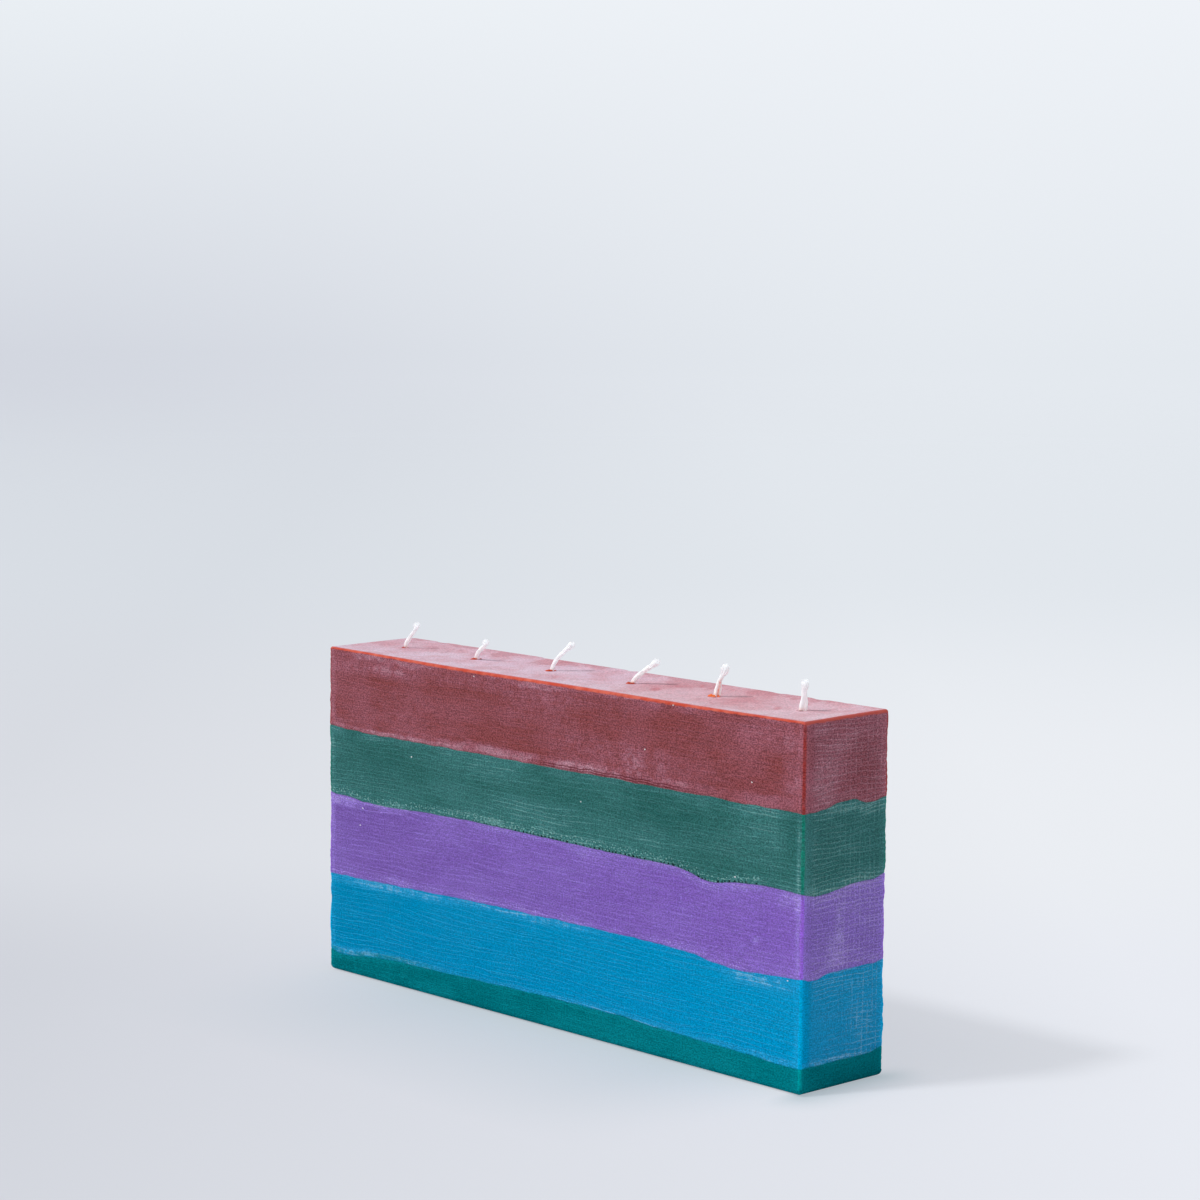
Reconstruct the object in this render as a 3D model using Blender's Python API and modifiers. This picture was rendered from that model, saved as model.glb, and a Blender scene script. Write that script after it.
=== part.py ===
"""Striped block candle with a row of wicks, built the way it is poured, one layer on another.

The block stands on z = 0 with its length along X and its thickness along Y. All sizes are in metres.
"""
import math

import bmesh
import bpy

# The block's outer form, as its mould leaves it
LENGTH = 0.240
WIDTH = 0.040
CORNER_RADIUS = 0.0012
FOOT_RADIUS = 0.0028
TOP_ARRIS = 0.0008
EDGE_STEPS = 3

# How thick each pour is, from the foot up
BASE_GREEN_THICKNESS = 0.0088
BLUE_THICKNESS = 0.0302
PURPLE_THICKNESS = 0.0275
DARK_GREEN_THICKNESS = 0.0253
TOP_RED_THICKNESS = 0.0302
LAYER_GAP = 0.0003

# Each seam is level apart from a few soft swells and dips, left where the wax below had begun to set.
# A swell is: place along and across, as shares of the block from its centre, then rise, and its
# reach along and across.
BASE_SWELLS = (
    (-0.50, 0.00, -0.0026, 0.016, 0.060),
    (0.02, -0.30, 0.0013, 0.055, 0.030),
    (0.44, -0.20, -0.0008, 0.014, 0.020),
    (0.50, 0.50, 0.0006, 0.010, 0.006),
    (-0.20, 0.50, -0.0012, 0.030, 0.012),
)
BLUE_SWELLS = (
    (-0.50, -0.30, -0.0016, 0.030, 0.030),
    (0.10, -0.30, 0.0006, 0.050, 0.030),
    (0.37, -0.40, -0.0019, 0.013, 0.015),
    (0.50, -0.38, -0.0012, 0.010, 0.005),
    (0.50, 0.50, 0.0008, 0.008, 0.005),
    (-0.12, 0.50, 0.0014, 0.024, 0.014),
)
PURPLE_SWELLS = (
    (-0.50, -0.50, 0.0010, 0.005, 0.008),
    (-0.37, -0.40, -0.0009, 0.020, 0.015),
    (-0.12, -0.40, 0.0005, 0.030, 0.020),
    (0.32, -0.45, -0.0019, 0.009, 0.014),
    (0.35, -0.45, -0.0010, 0.012, 0.014),
    (0.50, -0.30, -0.0017, 0.012, 0.007),
    (0.50, 0.50, 0.0012, 0.008, 0.005),
    (0.18, 0.50, -0.0015, 0.022, 0.012),
    (-0.50, 0.20, -0.0012, 0.010, 0.009),
)
DARK_GREEN_SWELLS = (
    (-0.50, -0.50, 0.0006, 0.006, 0.008),
    (0.15, -0.50, 0.0005, 0.007, 0.008),
    (0.50, 0.03, 0.0021, 0.016, 0.008),
    (0.50, 0.50, 0.0010, 0.008, 0.005),
    (-0.50, 0.10, 0.0013, 0.012, 0.010),
    (-0.30, 0.50, -0.0010, 0.020, 0.012),
)

# The cells of a seam's sheet: an odd number to a wick's space and across, so that each wick comes
# through the middle of a cell, and the distance below which two places count as one
CELLS_PER_PITCH = 7
CELLS_ACROSS = 9
SAME_PLACE = 0.00001

# The wicks: braided cotton, evenly spaced, half a space from each end
WICK_COUNT = 6
WICK_DIAMETER = 0.0023
WICK_CLEARANCE = 0.0003
TIP_FLARE = 1.35
TIP_LENGTH = 0.0026
STUB_POINTS = 12
FOOT_BEND = 0.35

# The stubs above the wax: their usual length, then for each wick its lean from upright at its foot
# and at its tip and the way it leans, all in degrees, and its own length as a share of the usual one
STUB_LENGTH = 0.010
STUBS = (
    (30, 33, 40, 1.00),
    (18, 48, 35, 0.82),
    (36, 54, 40, 1.18),
    (50, 68, 35, 1.22),
    (10, 34, 40, 1.04),
    (2, 7, 40, 0.92),
)

# The lip of wax that is drawn up round each wick
LIP_HEIGHT = 0.0007
LIP_MARGIN = 0.0005
LIP_SPREAD = 0.0013
LIP_SUNK = 0.0012
LIP_STRETCH = 1.25
LIP_OFFSET = 0.0005

# The wick feet: a pressed tinplate disc with a neck that is crimped on the wick
DISC_DIAMETER = 0.015
SHEET_THICKNESS = 0.0004
NECK_HEIGHT = 0.0046
NECK_FLARE = 0.0007
DISC_LIFT = 0.0003
WAX_CLEARANCE = 0.0003

# Facets of the turned pieces, and how far a cutter runs past what it cuts
TURN_STEPS = 24
BORE_STEPS = 12
OVERRUN = 0.004

# Sizes that follow from these
HEIGHT = (BASE_GREEN_THICKNESS + BLUE_THICKNESS + PURPLE_THICKNESS
          + DARK_GREEN_THICKNESS + TOP_RED_THICKNESS)
WICK_PITCH = LENGTH / WICK_COUNT
FIRST_WICK_X = (WICK_PITCH - LENGTH) / 2
WICK_RADIUS = WICK_DIAMETER / 2
BORE_RADIUS = WICK_RADIUS + WICK_CLEARANCE
NECK_OUTER_RADIUS = BORE_RADIUS + SHEET_THICKNESS
NECK_FOOT_RADIUS = NECK_OUTER_RADIUS + NECK_FLARE
DISC_RADIUS = DISC_DIAMETER / 2
DISC_TOP = DISC_LIFT + SHEET_THICKNESS
NECK_TOP = DISC_LIFT + NECK_HEIGHT


def clear_scene():
    """Remove whatever the file holds."""
    for old in list(bpy.data.objects):
        bpy.data.objects.remove(old, do_unlink=True)


def new_collection(name):
    """Make a collection in the scene."""
    collection = bpy.data.collections.new(name)
    bpy.context.scene.collection.children.link(collection)
    return collection


def new_material(name, colour, roughness, metallic=0.0):
    """Make a plain Principled material."""
    material = bpy.data.materials.new(name)
    material.use_nodes = True
    shader = material.node_tree.nodes["Principled BSDF"]
    shader.inputs["Base Color"].default_value = (*colour, 1.0)
    shader.inputs["Roughness"].default_value = roughness
    shader.inputs["Metallic"].default_value = metallic
    material.diffuse_color = (*colour, 1.0)
    return material


def add_object(name, data, collection, material=None):
    """Put a mesh or curve in the scene as an object."""
    obj = bpy.data.objects.new(name, data)
    collection.objects.link(obj)
    if material:
        data.materials.append(material)
    return obj


def as_cutter(obj):
    """Show a cutter as wire only."""
    obj.display_type = "WIRE"
    obj.hide_render = True
    return obj


def add_boolean(obj, cutter, operation):
    """Cut or join a layer with another solid."""
    boolean = obj.modifiers.new(cutter.name, "BOOLEAN")
    boolean.operation = operation
    boolean.object = cutter
    boolean.solver = "EXACT"


def seam_height(seam, x, y):
    """Height of a seam at one place: its level and what each swell adds there."""
    level, swells = seam
    height = level
    for along, across, rise, reach_along, reach_across in swells:
        dx = (x - along * LENGTH) / reach_along
        dy = (y - across * WIDTH) / reach_across
        height += rise * math.exp(-dx * dx - dy * dy)
    return height


def edge_rounding(edge, at_foot, at_top):
    """How far an edge of a layer is rounded: the block's own edges are, a seam's are not."""
    first, second = edge.verts
    if abs(first.co.z - second.co.z) > abs(first.co.x - second.co.x) + abs(first.co.y - second.co.y):
        on_corner = abs(abs(first.co.x) - LENGTH / 2) + abs(abs(first.co.y) - WIDTH / 2) < SAME_PLACE
        return CORNER_RADIUS if on_corner else 0
    middle = (first.co.z + second.co.z) / 2
    if at_foot and middle < SAME_PLACE:
        return FOOT_RADIUS
    if at_top and middle > HEIGHT - SAME_PLACE:
        return TOP_ARRIS
    return 0


def layer_mesh(name, lower, upper):
    """A sheet of the block's length and width, raised from its lower seam to its upper one.

    The block's own underside and top are level, so they have no swells.
    """
    at_foot = not lower[1]
    at_top = not upper[1]
    bm = bmesh.new()
    bmesh.ops.create_grid(
        bm, x_segments=WICK_COUNT * CELLS_PER_PITCH, y_segments=CELLS_ACROSS, size=0.5,
    )
    bmesh.ops.scale(bm, vec=(LENGTH, WIDTH, 1.0), verts=bm.verts)
    raised = bmesh.ops.extrude_face_region(bm, geom=list(bm.faces))
    top_verts = {item for item in raised["geom"] if isinstance(item, bmesh.types.BMVert)}
    for vert in bm.verts:
        seam = upper if vert in top_verts else lower
        vert.co.z = seam_height(seam, vert.co.x, vert.co.y)
    bmesh.ops.recalc_face_normals(bm, faces=bm.faces)
    flat_faces = []
    for face in bm.faces:
        in_top = all(vert in top_verts for vert in face.verts)
        in_foot = all(vert not in top_verts for vert in face.verts)
        if (in_top and at_top) or (in_foot and at_foot):
            flat_faces.append(face)
    if flat_faces:
        bmesh.ops.dissolve_faces(bm, faces=flat_faces)
    widest = max(CORNER_RADIUS, FOOT_RADIUS, TOP_ARRIS)
    weight = bm.edges.layers.float.new("bevel_weight_edge")
    for edge in bm.edges:
        edge[weight] = edge_rounding(edge, at_foot, at_top) / widest
    mesh = bpy.data.meshes.new(name)
    bm.to_mesh(mesh)
    bm.free()
    return mesh, widest


def add_turned(name, outline, closed, steps, collection, material=None):
    """Turn an outline of (radius, height) points round Z, its outer side from the top down."""
    bm = bmesh.new()
    verts = [bm.verts.new((radius, 0, height)) for radius, height in outline]
    for first, second in zip(verts, verts[1:]):
        bm.edges.new((first, second))
    if closed:
        bm.edges.new((verts[-1], verts[0]))
    mesh = bpy.data.meshes.new(name)
    bm.to_mesh(mesh)
    bm.free()
    obj = add_object(name, mesh, collection, material)
    screw = obj.modifiers.new("turn", "SCREW")
    screw.steps = steps
    screw.render_steps = steps
    screw.use_merge_vertices = True
    screw.merge_threshold = 0.00001
    return obj


def repeat_along_row(obj):
    """Repeat a solid at every wick."""
    obj.location.x = FIRST_WICK_X
    array = obj.modifiers.new("row", "ARRAY")
    array.count = WICK_COUNT
    array.use_relative_offset = False
    array.use_constant_offset = True
    array.constant_offset_displace = (WICK_PITCH, 0, 0)


def add_wick_channels(collection):
    """The space that each wick and its foot take up in the wax."""
    bore = BORE_RADIUS
    neck = NECK_OUTER_RADIUS + WAX_CLEARANCE
    neck_foot = NECK_FOOT_RADIUS + WAX_CLEARANCE
    disc = DISC_RADIUS + WAX_CLEARANCE
    outline = (
        (0, HEIGHT + LIP_HEIGHT + OVERRUN),
        (bore, HEIGHT + LIP_HEIGHT + OVERRUN),
        (bore, NECK_TOP + WAX_CLEARANCE),
        (neck, NECK_TOP + WAX_CLEARANCE),
        (neck_foot, DISC_TOP + WAX_CLEARANCE),
        (disc, DISC_TOP + WAX_CLEARANCE),
        (disc, -OVERRUN),
        (0, -OVERRUN),
    )
    channels = add_turned("wick_channels", outline, False, BORE_STEPS, collection)
    repeat_along_row(channels)
    return as_cutter(channels)


def add_wax_lips(collection):
    """The low cone of wax round each wick, longer on the side that the wick leans away from."""
    top_radius = BORE_RADIUS + LIP_MARGIN
    foot_radius = top_radius + LIP_SPREAD
    bm = bmesh.new()
    bmesh.ops.create_cone(
        bm, cap_ends=True, segments=BORE_STEPS,
        radius1=foot_radius, radius2=top_radius, depth=LIP_SUNK + LIP_HEIGHT,
    )
    for vert in bm.verts:
        if vert.co.z < 0:
            vert.co.x = vert.co.x * LIP_STRETCH - LIP_OFFSET
    bmesh.ops.translate(bm, vec=(0, 0, HEIGHT + (LIP_HEIGHT - LIP_SUNK) / 2), verts=bm.verts)
    mesh = bpy.data.meshes.new("wax_lips")
    bm.to_mesh(mesh)
    bm.free()
    lips = add_object("wax_lips", mesh, collection)
    repeat_along_row(lips)
    return as_cutter(lips)


def add_layer(name, lower, upper, collection, material):
    """One wax layer between two seams, with the block's edges rounded."""
    mesh, widest = layer_mesh(name, lower, upper)
    layer = add_object(name, mesh, collection, material)
    bevel = layer.modifiers.new("edges", "BEVEL")
    bevel.limit_method = "WEIGHT"
    bevel.width = widest
    bevel.segments = EDGE_STEPS
    return layer


def add_wick(number, x, stub, collection, material):
    """A wick, upright in the wax and leaning above it, with its cut end a little spread."""
    lean_foot, lean_tip, heading, length_share = stub
    heading = math.radians(heading)
    stub_length = STUB_LENGTH * length_share
    points = [(x, 0, DISC_LIFT, 1.0)]
    place = [x, 0, HEIGHT]
    points.append((*place, 1.0))
    step = stub_length / STUB_POINTS
    for index in range(STUB_POINTS):
        share = (index + 0.5) / STUB_POINTS
        bend = min(1.0, share / FOOT_BEND)
        bend = bend * bend * (3 - 2 * bend)
        lean = math.radians(lean_foot * bend + (lean_tip - lean_foot) * share)
        place[0] += step * math.sin(lean) * math.cos(heading)
        place[1] += step * math.sin(lean) * math.sin(heading)
        place[2] += step * math.cos(lean)
        to_end = stub_length - (index + 1) * step
        spread = max(0.0, 1 - to_end / TIP_LENGTH)
        points.append((*place, 1 + (TIP_FLARE - 1) * spread))
    name = f"wick_{number}"
    curve = bpy.data.curves.new(name, "CURVE")
    curve.dimensions = "3D"
    curve.bevel_depth = WICK_RADIUS
    curve.bevel_resolution = 2
    curve.use_fill_caps = True
    spline = curve.splines.new("POLY")
    spline.points.add(len(points) - 1)
    for point, (px, py, pz, radius) in zip(spline.points, points):
        point.co = (px, py, pz, 1)
        point.radius = radius
    return add_object(name, curve, collection, material)


def add_wick_foot(number, x, collection, material):
    """A tinplate disc whose middle is drawn up into a neck that holds the wick."""
    foot_bore = BORE_RADIUS + NECK_FLARE
    outline = (
        (BORE_RADIUS, NECK_TOP),
        (NECK_OUTER_RADIUS, NECK_TOP),
        (NECK_FOOT_RADIUS, DISC_TOP),
        (DISC_RADIUS, DISC_TOP),
        (DISC_RADIUS, DISC_LIFT),
        (foot_bore, DISC_LIFT),
    )
    foot = add_turned(f"wick_sustainer_{number}", outline, True, TURN_STEPS, collection, material)
    foot.location.x = x
    foot.data.shade_smooth()
    return foot


def build_candle():
    """Pour the layers, then set the wicks and their feet."""
    clear_scene()
    parts = new_collection("candle")
    cutters = new_collection("cutters")

    channels = add_wick_channels(cutters)
    lips = add_wax_lips(cutters)

    level_sheet = ()
    pours = (
        ("base_green_layer", BASE_GREEN_THICKNESS, BASE_SWELLS, (0.010, 0.170, 0.130)),
        ("blue_layer", BLUE_THICKNESS, BLUE_SWELLS, (0.020, 0.230, 0.480)),
        ("purple_layer", PURPLE_THICKNESS, PURPLE_SWELLS, (0.200, 0.085, 0.430)),
        ("dark_green_layer", DARK_GREEN_THICKNESS, DARK_GREEN_SWELLS, (0.030, 0.130, 0.110)),
        ("top_red_layer", TOP_RED_THICKNESS, level_sheet, (0.250, 0.050, 0.050)),
    )
    level = 0
    lower = (level, level_sheet)
    for name, thickness, swells, colour in pours:
        level += thickness
        is_last = name == pours[-1][0]
        upper = (level, swells) if is_last else (level - LAYER_GAP / 2, swells)
        wax = new_material(name.replace("_layer", "_wax"), colour, 0.55)
        layer = add_layer(name, lower, upper, parts, wax)
        if is_last:
            add_boolean(layer, lips, "UNION")
        add_boolean(layer, channels, "DIFFERENCE")
        lower = (level + LAYER_GAP / 2, swells)

    cotton = new_material("wick_cotton", (0.860, 0.830, 0.800), 0.9)
    tinplate = new_material("wick_tinplate", (0.620, 0.620, 0.620), 0.35, 1.0)
    for index in range(WICK_COUNT):
        x = FIRST_WICK_X + index * WICK_PITCH
        add_wick(index + 1, x, STUBS[index % len(STUBS)], parts, cotton)
        add_wick_foot(index + 1, x, parts, tinplate)

    stand = bpy.data.objects.new("candle_stand_point", None)
    parts.objects.link(stand)
    for obj in list(parts.objects):
        if obj is not stand:
            obj.parent = stand


build_candle()
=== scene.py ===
import math

import bmesh
import bpy
import numpy as np
from mathutils import Matrix, Vector


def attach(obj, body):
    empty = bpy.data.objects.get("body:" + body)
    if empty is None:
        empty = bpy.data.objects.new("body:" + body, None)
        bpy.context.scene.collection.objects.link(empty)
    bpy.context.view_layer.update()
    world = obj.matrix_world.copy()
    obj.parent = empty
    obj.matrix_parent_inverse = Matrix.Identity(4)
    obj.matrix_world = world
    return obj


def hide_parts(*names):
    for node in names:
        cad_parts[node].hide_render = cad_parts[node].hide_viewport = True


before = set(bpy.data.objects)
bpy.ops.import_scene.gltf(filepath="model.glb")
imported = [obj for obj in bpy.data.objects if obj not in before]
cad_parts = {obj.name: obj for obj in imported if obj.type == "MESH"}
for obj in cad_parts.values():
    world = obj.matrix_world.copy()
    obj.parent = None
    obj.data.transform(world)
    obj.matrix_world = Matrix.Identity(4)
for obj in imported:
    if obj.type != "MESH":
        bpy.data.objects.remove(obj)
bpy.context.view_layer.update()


# The camera stands to the right of the block's front and a little above its top, so that one corner
# comes nearest and the top shows as a thin strip. Place, turn and lens are the photograph's own.
camera_place = Vector((0.8003, -0.7556, 0.2754))
turned_from_front = math.radians(46.496)
looking_down = math.radians(6.586)
rolled = math.radians(0.458)
level_view = math.radians(90)

bpy.ops.object.select_all(action="DESELECT")
bpy.ops.object.camera_add()
camera = bpy.context.object
camera.name = "camera"
camera.data.sensor_width = 36
camera.data.lens = 95.877
camera.data.clip_start = 0.05
camera.data.clip_end = 60
camera.matrix_world = (
    Matrix.Translation(camera_place)
    @ Matrix.Rotation(turned_from_front, 4, "Z")
    @ Matrix.Rotation(level_view - looking_down, 4, "X")
    @ Matrix.Rotation(rolled, 4, "Z")
)
bpy.context.scene.camera = camera


# The table is one wide sheet of pale matt paper. Seen from the camera it partly glows in its own
# colour, a painted light that keeps a shadow on it light. Its colour has painted shade in front of the
# block, tinted by the wax, and close beside its right end. It has no edge to be seen: far from the
# block it thins out into the backdrop, which has the same colours.
def linear(red, green, blue):
    """A screen colour of 0 to 255, as the light that a shader works with."""
    light = []
    for value in (red, green, blue):
        value = value / 255
        light.append(value / 12.92 if value <= 0.04045 else ((value + 0.055) / 1.055) ** 2.4)
    return (*light, 1.0)


def add_node(tree, kind, values=None, **settings):
    """Add a shader node. Each value is set on its socket, or linked to it if it is itself a socket."""
    node = tree.nodes.new(kind)
    for name, setting in settings.items():
        setattr(node, name, setting)
    for name, value in (values or {}).items():
        if isinstance(value, bpy.types.NodeSocket):
            tree.links.new(value, node.inputs[name])
        else:
            node.inputs[name].default_value = value
    return node


def add_maths(tree, operation, first, second=0.0, third=0.0, clamp=False):
    """Add a Math node and give back its result."""
    values = {0: first, 1: second, 2: third}
    return add_node(tree, "ShaderNodeMath", values, operation=operation, use_clamp=clamp).outputs[0]


def add_product(tree, *shares):
    """Multiply two values or more."""
    product = shares[0]
    for share in shares[1:]:
        product = add_maths(tree, "MULTIPLY", product, share)
    return product


def add_sum(tree, *values):
    """Add up two values or more."""
    total = values[0]
    for value in values[1:]:
        total = add_maths(tree, "ADD", total, value)
    return total


def add_range(tree, value, low, high, to_low=0.0, to_high=1.0, smooth=True):
    """Turn a value between low and high into one between to_low and to_high."""
    kind = "SMOOTHSTEP" if smooth else "LINEAR"
    values = {"Value": value, "From Min": low, "From Max": high, "To Min": to_low, "To Max": to_high}
    return add_node(tree, "ShaderNodeMapRange", values, interpolation_type=kind).outputs["Result"]


def add_colour_mix(tree, share, first, second):
    """Mix two colours, the second by the share."""
    mix = add_node(tree, "ShaderNodeMix", {0: share, 6: first, 7: second}, data_type="RGBA")
    return mix.outputs[2]


paper_radius = 12.0
paper_drop = 0.0002
paper_fades_from = 1.6
paper_gone_at = 5.0
near_left = linear(207, 210, 218)
near_right = linear(236, 239, 246)
middle_left = linear(219, 222, 229)
middle_right = linear(238, 241, 246)
far_left = linear(219, 224, 231)
far_right = linear(229, 234, 240)
# The colour of the painted shade in front of the block and beside its right end
painted_shade_colour = linear(185, 201, 210)
painted_shade_share = 0.55
contact_shade_share = 0.90
contact_shade_reach = 0.022
block_reach = (("X", 0.1185), ("Y", 0.0185))
paper_glow_share = 0.66
across_table = (0.69, 0.72, 0.0)
towards_viewer = (0.72, -0.69, 0.0)

bpy.ops.object.select_all(action="DESELECT")
bpy.ops.mesh.primitive_circle_add(
    vertices=96, radius=paper_radius, fill_type="TRIFAN", location=(0, 0, -paper_drop),
)
paper = bpy.context.object
paper.name = "table_paper"
bpy.ops.object.transform_apply(location=True, rotation=True, scale=True)

material = bpy.data.materials.new("pale_paper")
material.use_nodes = True
tree = material.node_tree
shader = tree.nodes["Principled BSDF"]
spot = add_node(tree, "ShaderNodeTexCoord").outputs["Object"]
away = add_node(tree, "ShaderNodeVectorMath", {0: spot}, operation="LENGTH").outputs["Value"]
sideways = add_node(
    tree, "ShaderNodeVectorMath", {0: spot, 1: across_table}, operation="DOT_PRODUCT",
).outputs["Value"]
nearness = add_node(
    tree, "ShaderNodeVectorMath", {0: spot, 1: towards_viewer}, operation="DOT_PRODUCT",
).outputs["Value"]
to_right = add_range(tree, sideways, -0.30, 0.20, smooth=False)
near_paper = add_colour_mix(tree, to_right, near_left, near_right)
middle_paper = add_colour_mix(tree, to_right, middle_left, middle_right)
far_paper = add_colour_mix(tree, to_right, far_left, far_right)
paper_colour = add_colour_mix(tree, add_range(tree, nearness, -0.32, -0.04), middle_paper, near_paper)
paper_colour = add_colour_mix(tree, add_range(tree, nearness, -0.45, -1.50), paper_colour, far_paper)
paper_parts = add_node(tree, "ShaderNodeSeparateXYZ", {0: spot}).outputs
# Painted shade in front of the block, in a bluish grey that also paints the wax's light on the paper
shaded = add_product(
    tree,
    add_range(tree, paper_parts["Y"], -0.115, -0.020, 0.0, painted_shade_share, smooth=False),
    add_range(tree, paper_parts["X"], 0.128, 0.060),
    add_range(tree, paper_parts["X"], -0.150, -0.050),
    add_range(tree, paper_parts["Y"], 0.004, -0.018),
)
squares = []
for axis, reach in block_reach:
    past_side = add_maths(tree, "SUBTRACT", add_maths(tree, "ABSOLUTE", paper_parts[axis]), reach)
    squares.append(add_maths(tree, "POWER", add_maths(tree, "MAXIMUM", past_side, 0.0), 2.0))
off_block = add_maths(tree, "SQRT", add_sum(tree, *squares))
# Painted contact shade close beside the block's right end
painted_contact_shade = add_product(
    tree,
    add_maths(tree, "POWER", add_range(tree, off_block, contact_shade_reach, 0.0, smooth=False), 2.0),
    add_range(tree, paper_parts["X"], 0.110, 0.122),
    contact_shade_share,
)
shaded = add_maths(tree, "MAXIMUM", shaded, painted_contact_shade)
paper_colour = add_colour_mix(tree, shaded, paper_colour, painted_shade_colour)
tree.links.new(paper_colour, shader.inputs["Base Color"])
shader.inputs["Roughness"].default_value = 0.9
shader.inputs["Specular IOR Level"].default_value = 0.05
# Painted light: seen from the camera, the paper partly glows in its own colour, so the shadow on it stays
# light
glow = add_node(tree, "ShaderNodeEmission", {"Color": paper_colour})
eye = add_node(tree, "ShaderNodeLightPath").outputs["Is Camera Ray"]
seen_glow_share = add_maths(tree, "MULTIPLY", eye, paper_glow_share)
paper_and_glow = add_node(tree, "ShaderNodeMixShader", {0: seen_glow_share, 1: shader.outputs[0], 2: glow.outputs[0]})
clear = add_node(tree, "ShaderNodeBsdfTransparent").outputs[0]
thinned = add_range(tree, away, paper_fades_from, paper_gone_at)
edge_free = add_node(tree, "ShaderNodeMixShader", {0: thinned, 1: paper_and_glow.outputs[0], 2: clear})
tree.links.new(edge_free.outputs[0], tree.nodes["Material Output"].inputs["Surface"])
paper.data.materials.append(material)


# The light is one large soft lamp in front and to the left, high up, with a bright middle, in a room
# of pale walls. Their even light comes from the world, whose colour behind the block is the backdrop's.
room_light = (0.955, 0.98, 1.01, 1.0)
room_strength = 0.42
backdrop_low_left = linear(211, 215, 224)
backdrop_low_right = linear(228, 233, 239)
backdrop_high_left = linear(234, 239, 244)
backdrop_high_right = linear(238, 242, 247)
backdrop_low_at = -0.038
backdrop_high_at = 0.070
backdrop_left_at = -0.20
backdrop_right_at = 0.12
lamp_towards = Vector((0.25, 0.5625, -0.788))
lamp_colour = (1.0, 0.985, 0.965)
lamp_parts = (("lamp_middle", 1.66, math.radians(8)), ("lamp_rim", 0.36, math.radians(28)))

world = bpy.data.worlds.new("studio")
bpy.context.scene.world = world
world.use_nodes = True
tree = world.node_tree
tree.nodes.clear()
direction = add_node(tree, "ShaderNodeTexCoord").outputs["Generated"]
upwards = add_node(tree, "ShaderNodeSeparateXYZ", {0: direction}).outputs["Z"]
height_share = add_range(tree, upwards, backdrop_low_at, backdrop_high_at, smooth=False)
across = add_node(
    tree, "ShaderNodeVectorMath", {0: direction, 1: across_table}, operation="DOT_PRODUCT",
).outputs["Value"]
across_share = add_range(tree, across, backdrop_left_at, backdrop_right_at)
backdrop_low = add_colour_mix(tree, across_share, backdrop_low_left, backdrop_low_right)
backdrop_high = add_colour_mix(tree, across_share, backdrop_high_left, backdrop_high_right)
backdrop = add_colour_mix(tree, height_share, backdrop_low, backdrop_high)
path = add_node(tree, "ShaderNodeLightPath")
seen = add_maths(tree, "MAXIMUM", path.outputs["Is Camera Ray"], path.outputs["Is Glossy Ray"])
seen = add_maths(tree, "MAXIMUM", seen, path.outputs["Is Transmission Ray"])
room = add_node(tree, "ShaderNodeBackground", {"Color": room_light, "Strength": room_strength})
behind = add_node(tree, "ShaderNodeBackground", {"Color": backdrop, "Strength": 1.0})
either = add_node(tree, "ShaderNodeMixShader", {0: seen, 1: room.outputs[0], 2: behind.outputs[0]})
add_node(tree, "ShaderNodeOutputWorld", {"Surface": either.outputs[0]})

for name, strength, spread in lamp_parts:
    bpy.ops.object.select_all(action="DESELECT")
    bpy.ops.object.light_add(type="SUN", location=(-0.6, -1.2, 1.4))
    lamp = bpy.context.object
    lamp.name = name
    lamp.data.color = lamp_colour
    lamp.data.energy = strength
    lamp.data.angle = spread
    lamp.rotation_mode = "QUATERNION"
    lamp.rotation_quaternion = lamp_towards.to_track_quat("-Z", "Y")
bpy.context.scene.view_settings.view_transform = "Standard"


# The base is the first pour: a thin skin of blue-green wax in the bottom of the mould, which is the
# candle's foot. It is smoother than the rest, round at its lower edge, and holds the six wick feet.
# All sizes are in metres, and the block is 240 by 40 by 122 millimetres.
block_length = 0.240
block_width = 0.040
block_height = 0.122
corner_radius = 0.0007
foot_radius = 0.0022
wick_count = 6
wick_pitch = block_length / wick_count
first_wick = (wick_pitch - block_length) / 2
wick_places = [first_wick + number * wick_pitch for number in range(wick_count)]

# A seam is its level and its swells: place along and across as shares of the block from its centre,
# then rise, and its reach along and across.
underside = (0.0, ())
base_seam = (0.00865, (
    (0.04, -0.50, 0.0023, 0.082, 0.030),
    (-0.465, -0.30, -0.0022, 0.014, 0.060),
    (-0.50, -0.50, 0.0006, 0.004, 0.008),
    (0.155, -0.50, 0.0004, 0.006, 0.010),
    (0.46, -0.50, -0.0003, 0.012, 0.012),
    (0.50, 0.50, 0.0013, 0.010, 0.0045),
    (-0.20, 0.50, -0.0012, 0.030, 0.012),
))
seam_rough = 0.00016

# The body's mesh is cut into cells, and each cell of its walls into smaller ones. The cells next to
# a corner are narrow: the first takes the corner's round, and the others lead up to it.
cells_along = 44
cells_across = 14
finer = 5
corner_cells = (0.0, corner_radius, 0.0016, 0.0038)
corner_crowding = 1.6
join_clearance = 0.00001


def soft_noise(points, cell, seed):
    """Smooth random heights from -1 to 1 at many points, with about one bump to a cell."""
    side = 32
    lattice = np.random.default_rng(seed).uniform(-1, 1, (side, side, side))
    scaled = points / np.asarray(cell)
    low = np.floor(scaled).astype(int)
    part = scaled - low
    part = part * part * (3 - 2 * part)
    total = np.zeros(len(points))
    for corner in np.ndindex(2, 2, 2):
        weight = np.prod(np.where(corner, part, 1 - part), axis=1)
        place = (low + corner) % side
        total += weight * lattice[place[:, 0], place[:, 1], place[:, 2]]
    return total


def smooth_step(values, low, high):
    """0 below low, 1 above high and a soft rise between them."""
    share = np.clip((values - low) / (high - low), 0, 1)
    return share * share * (3 - 2 * share)


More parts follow.
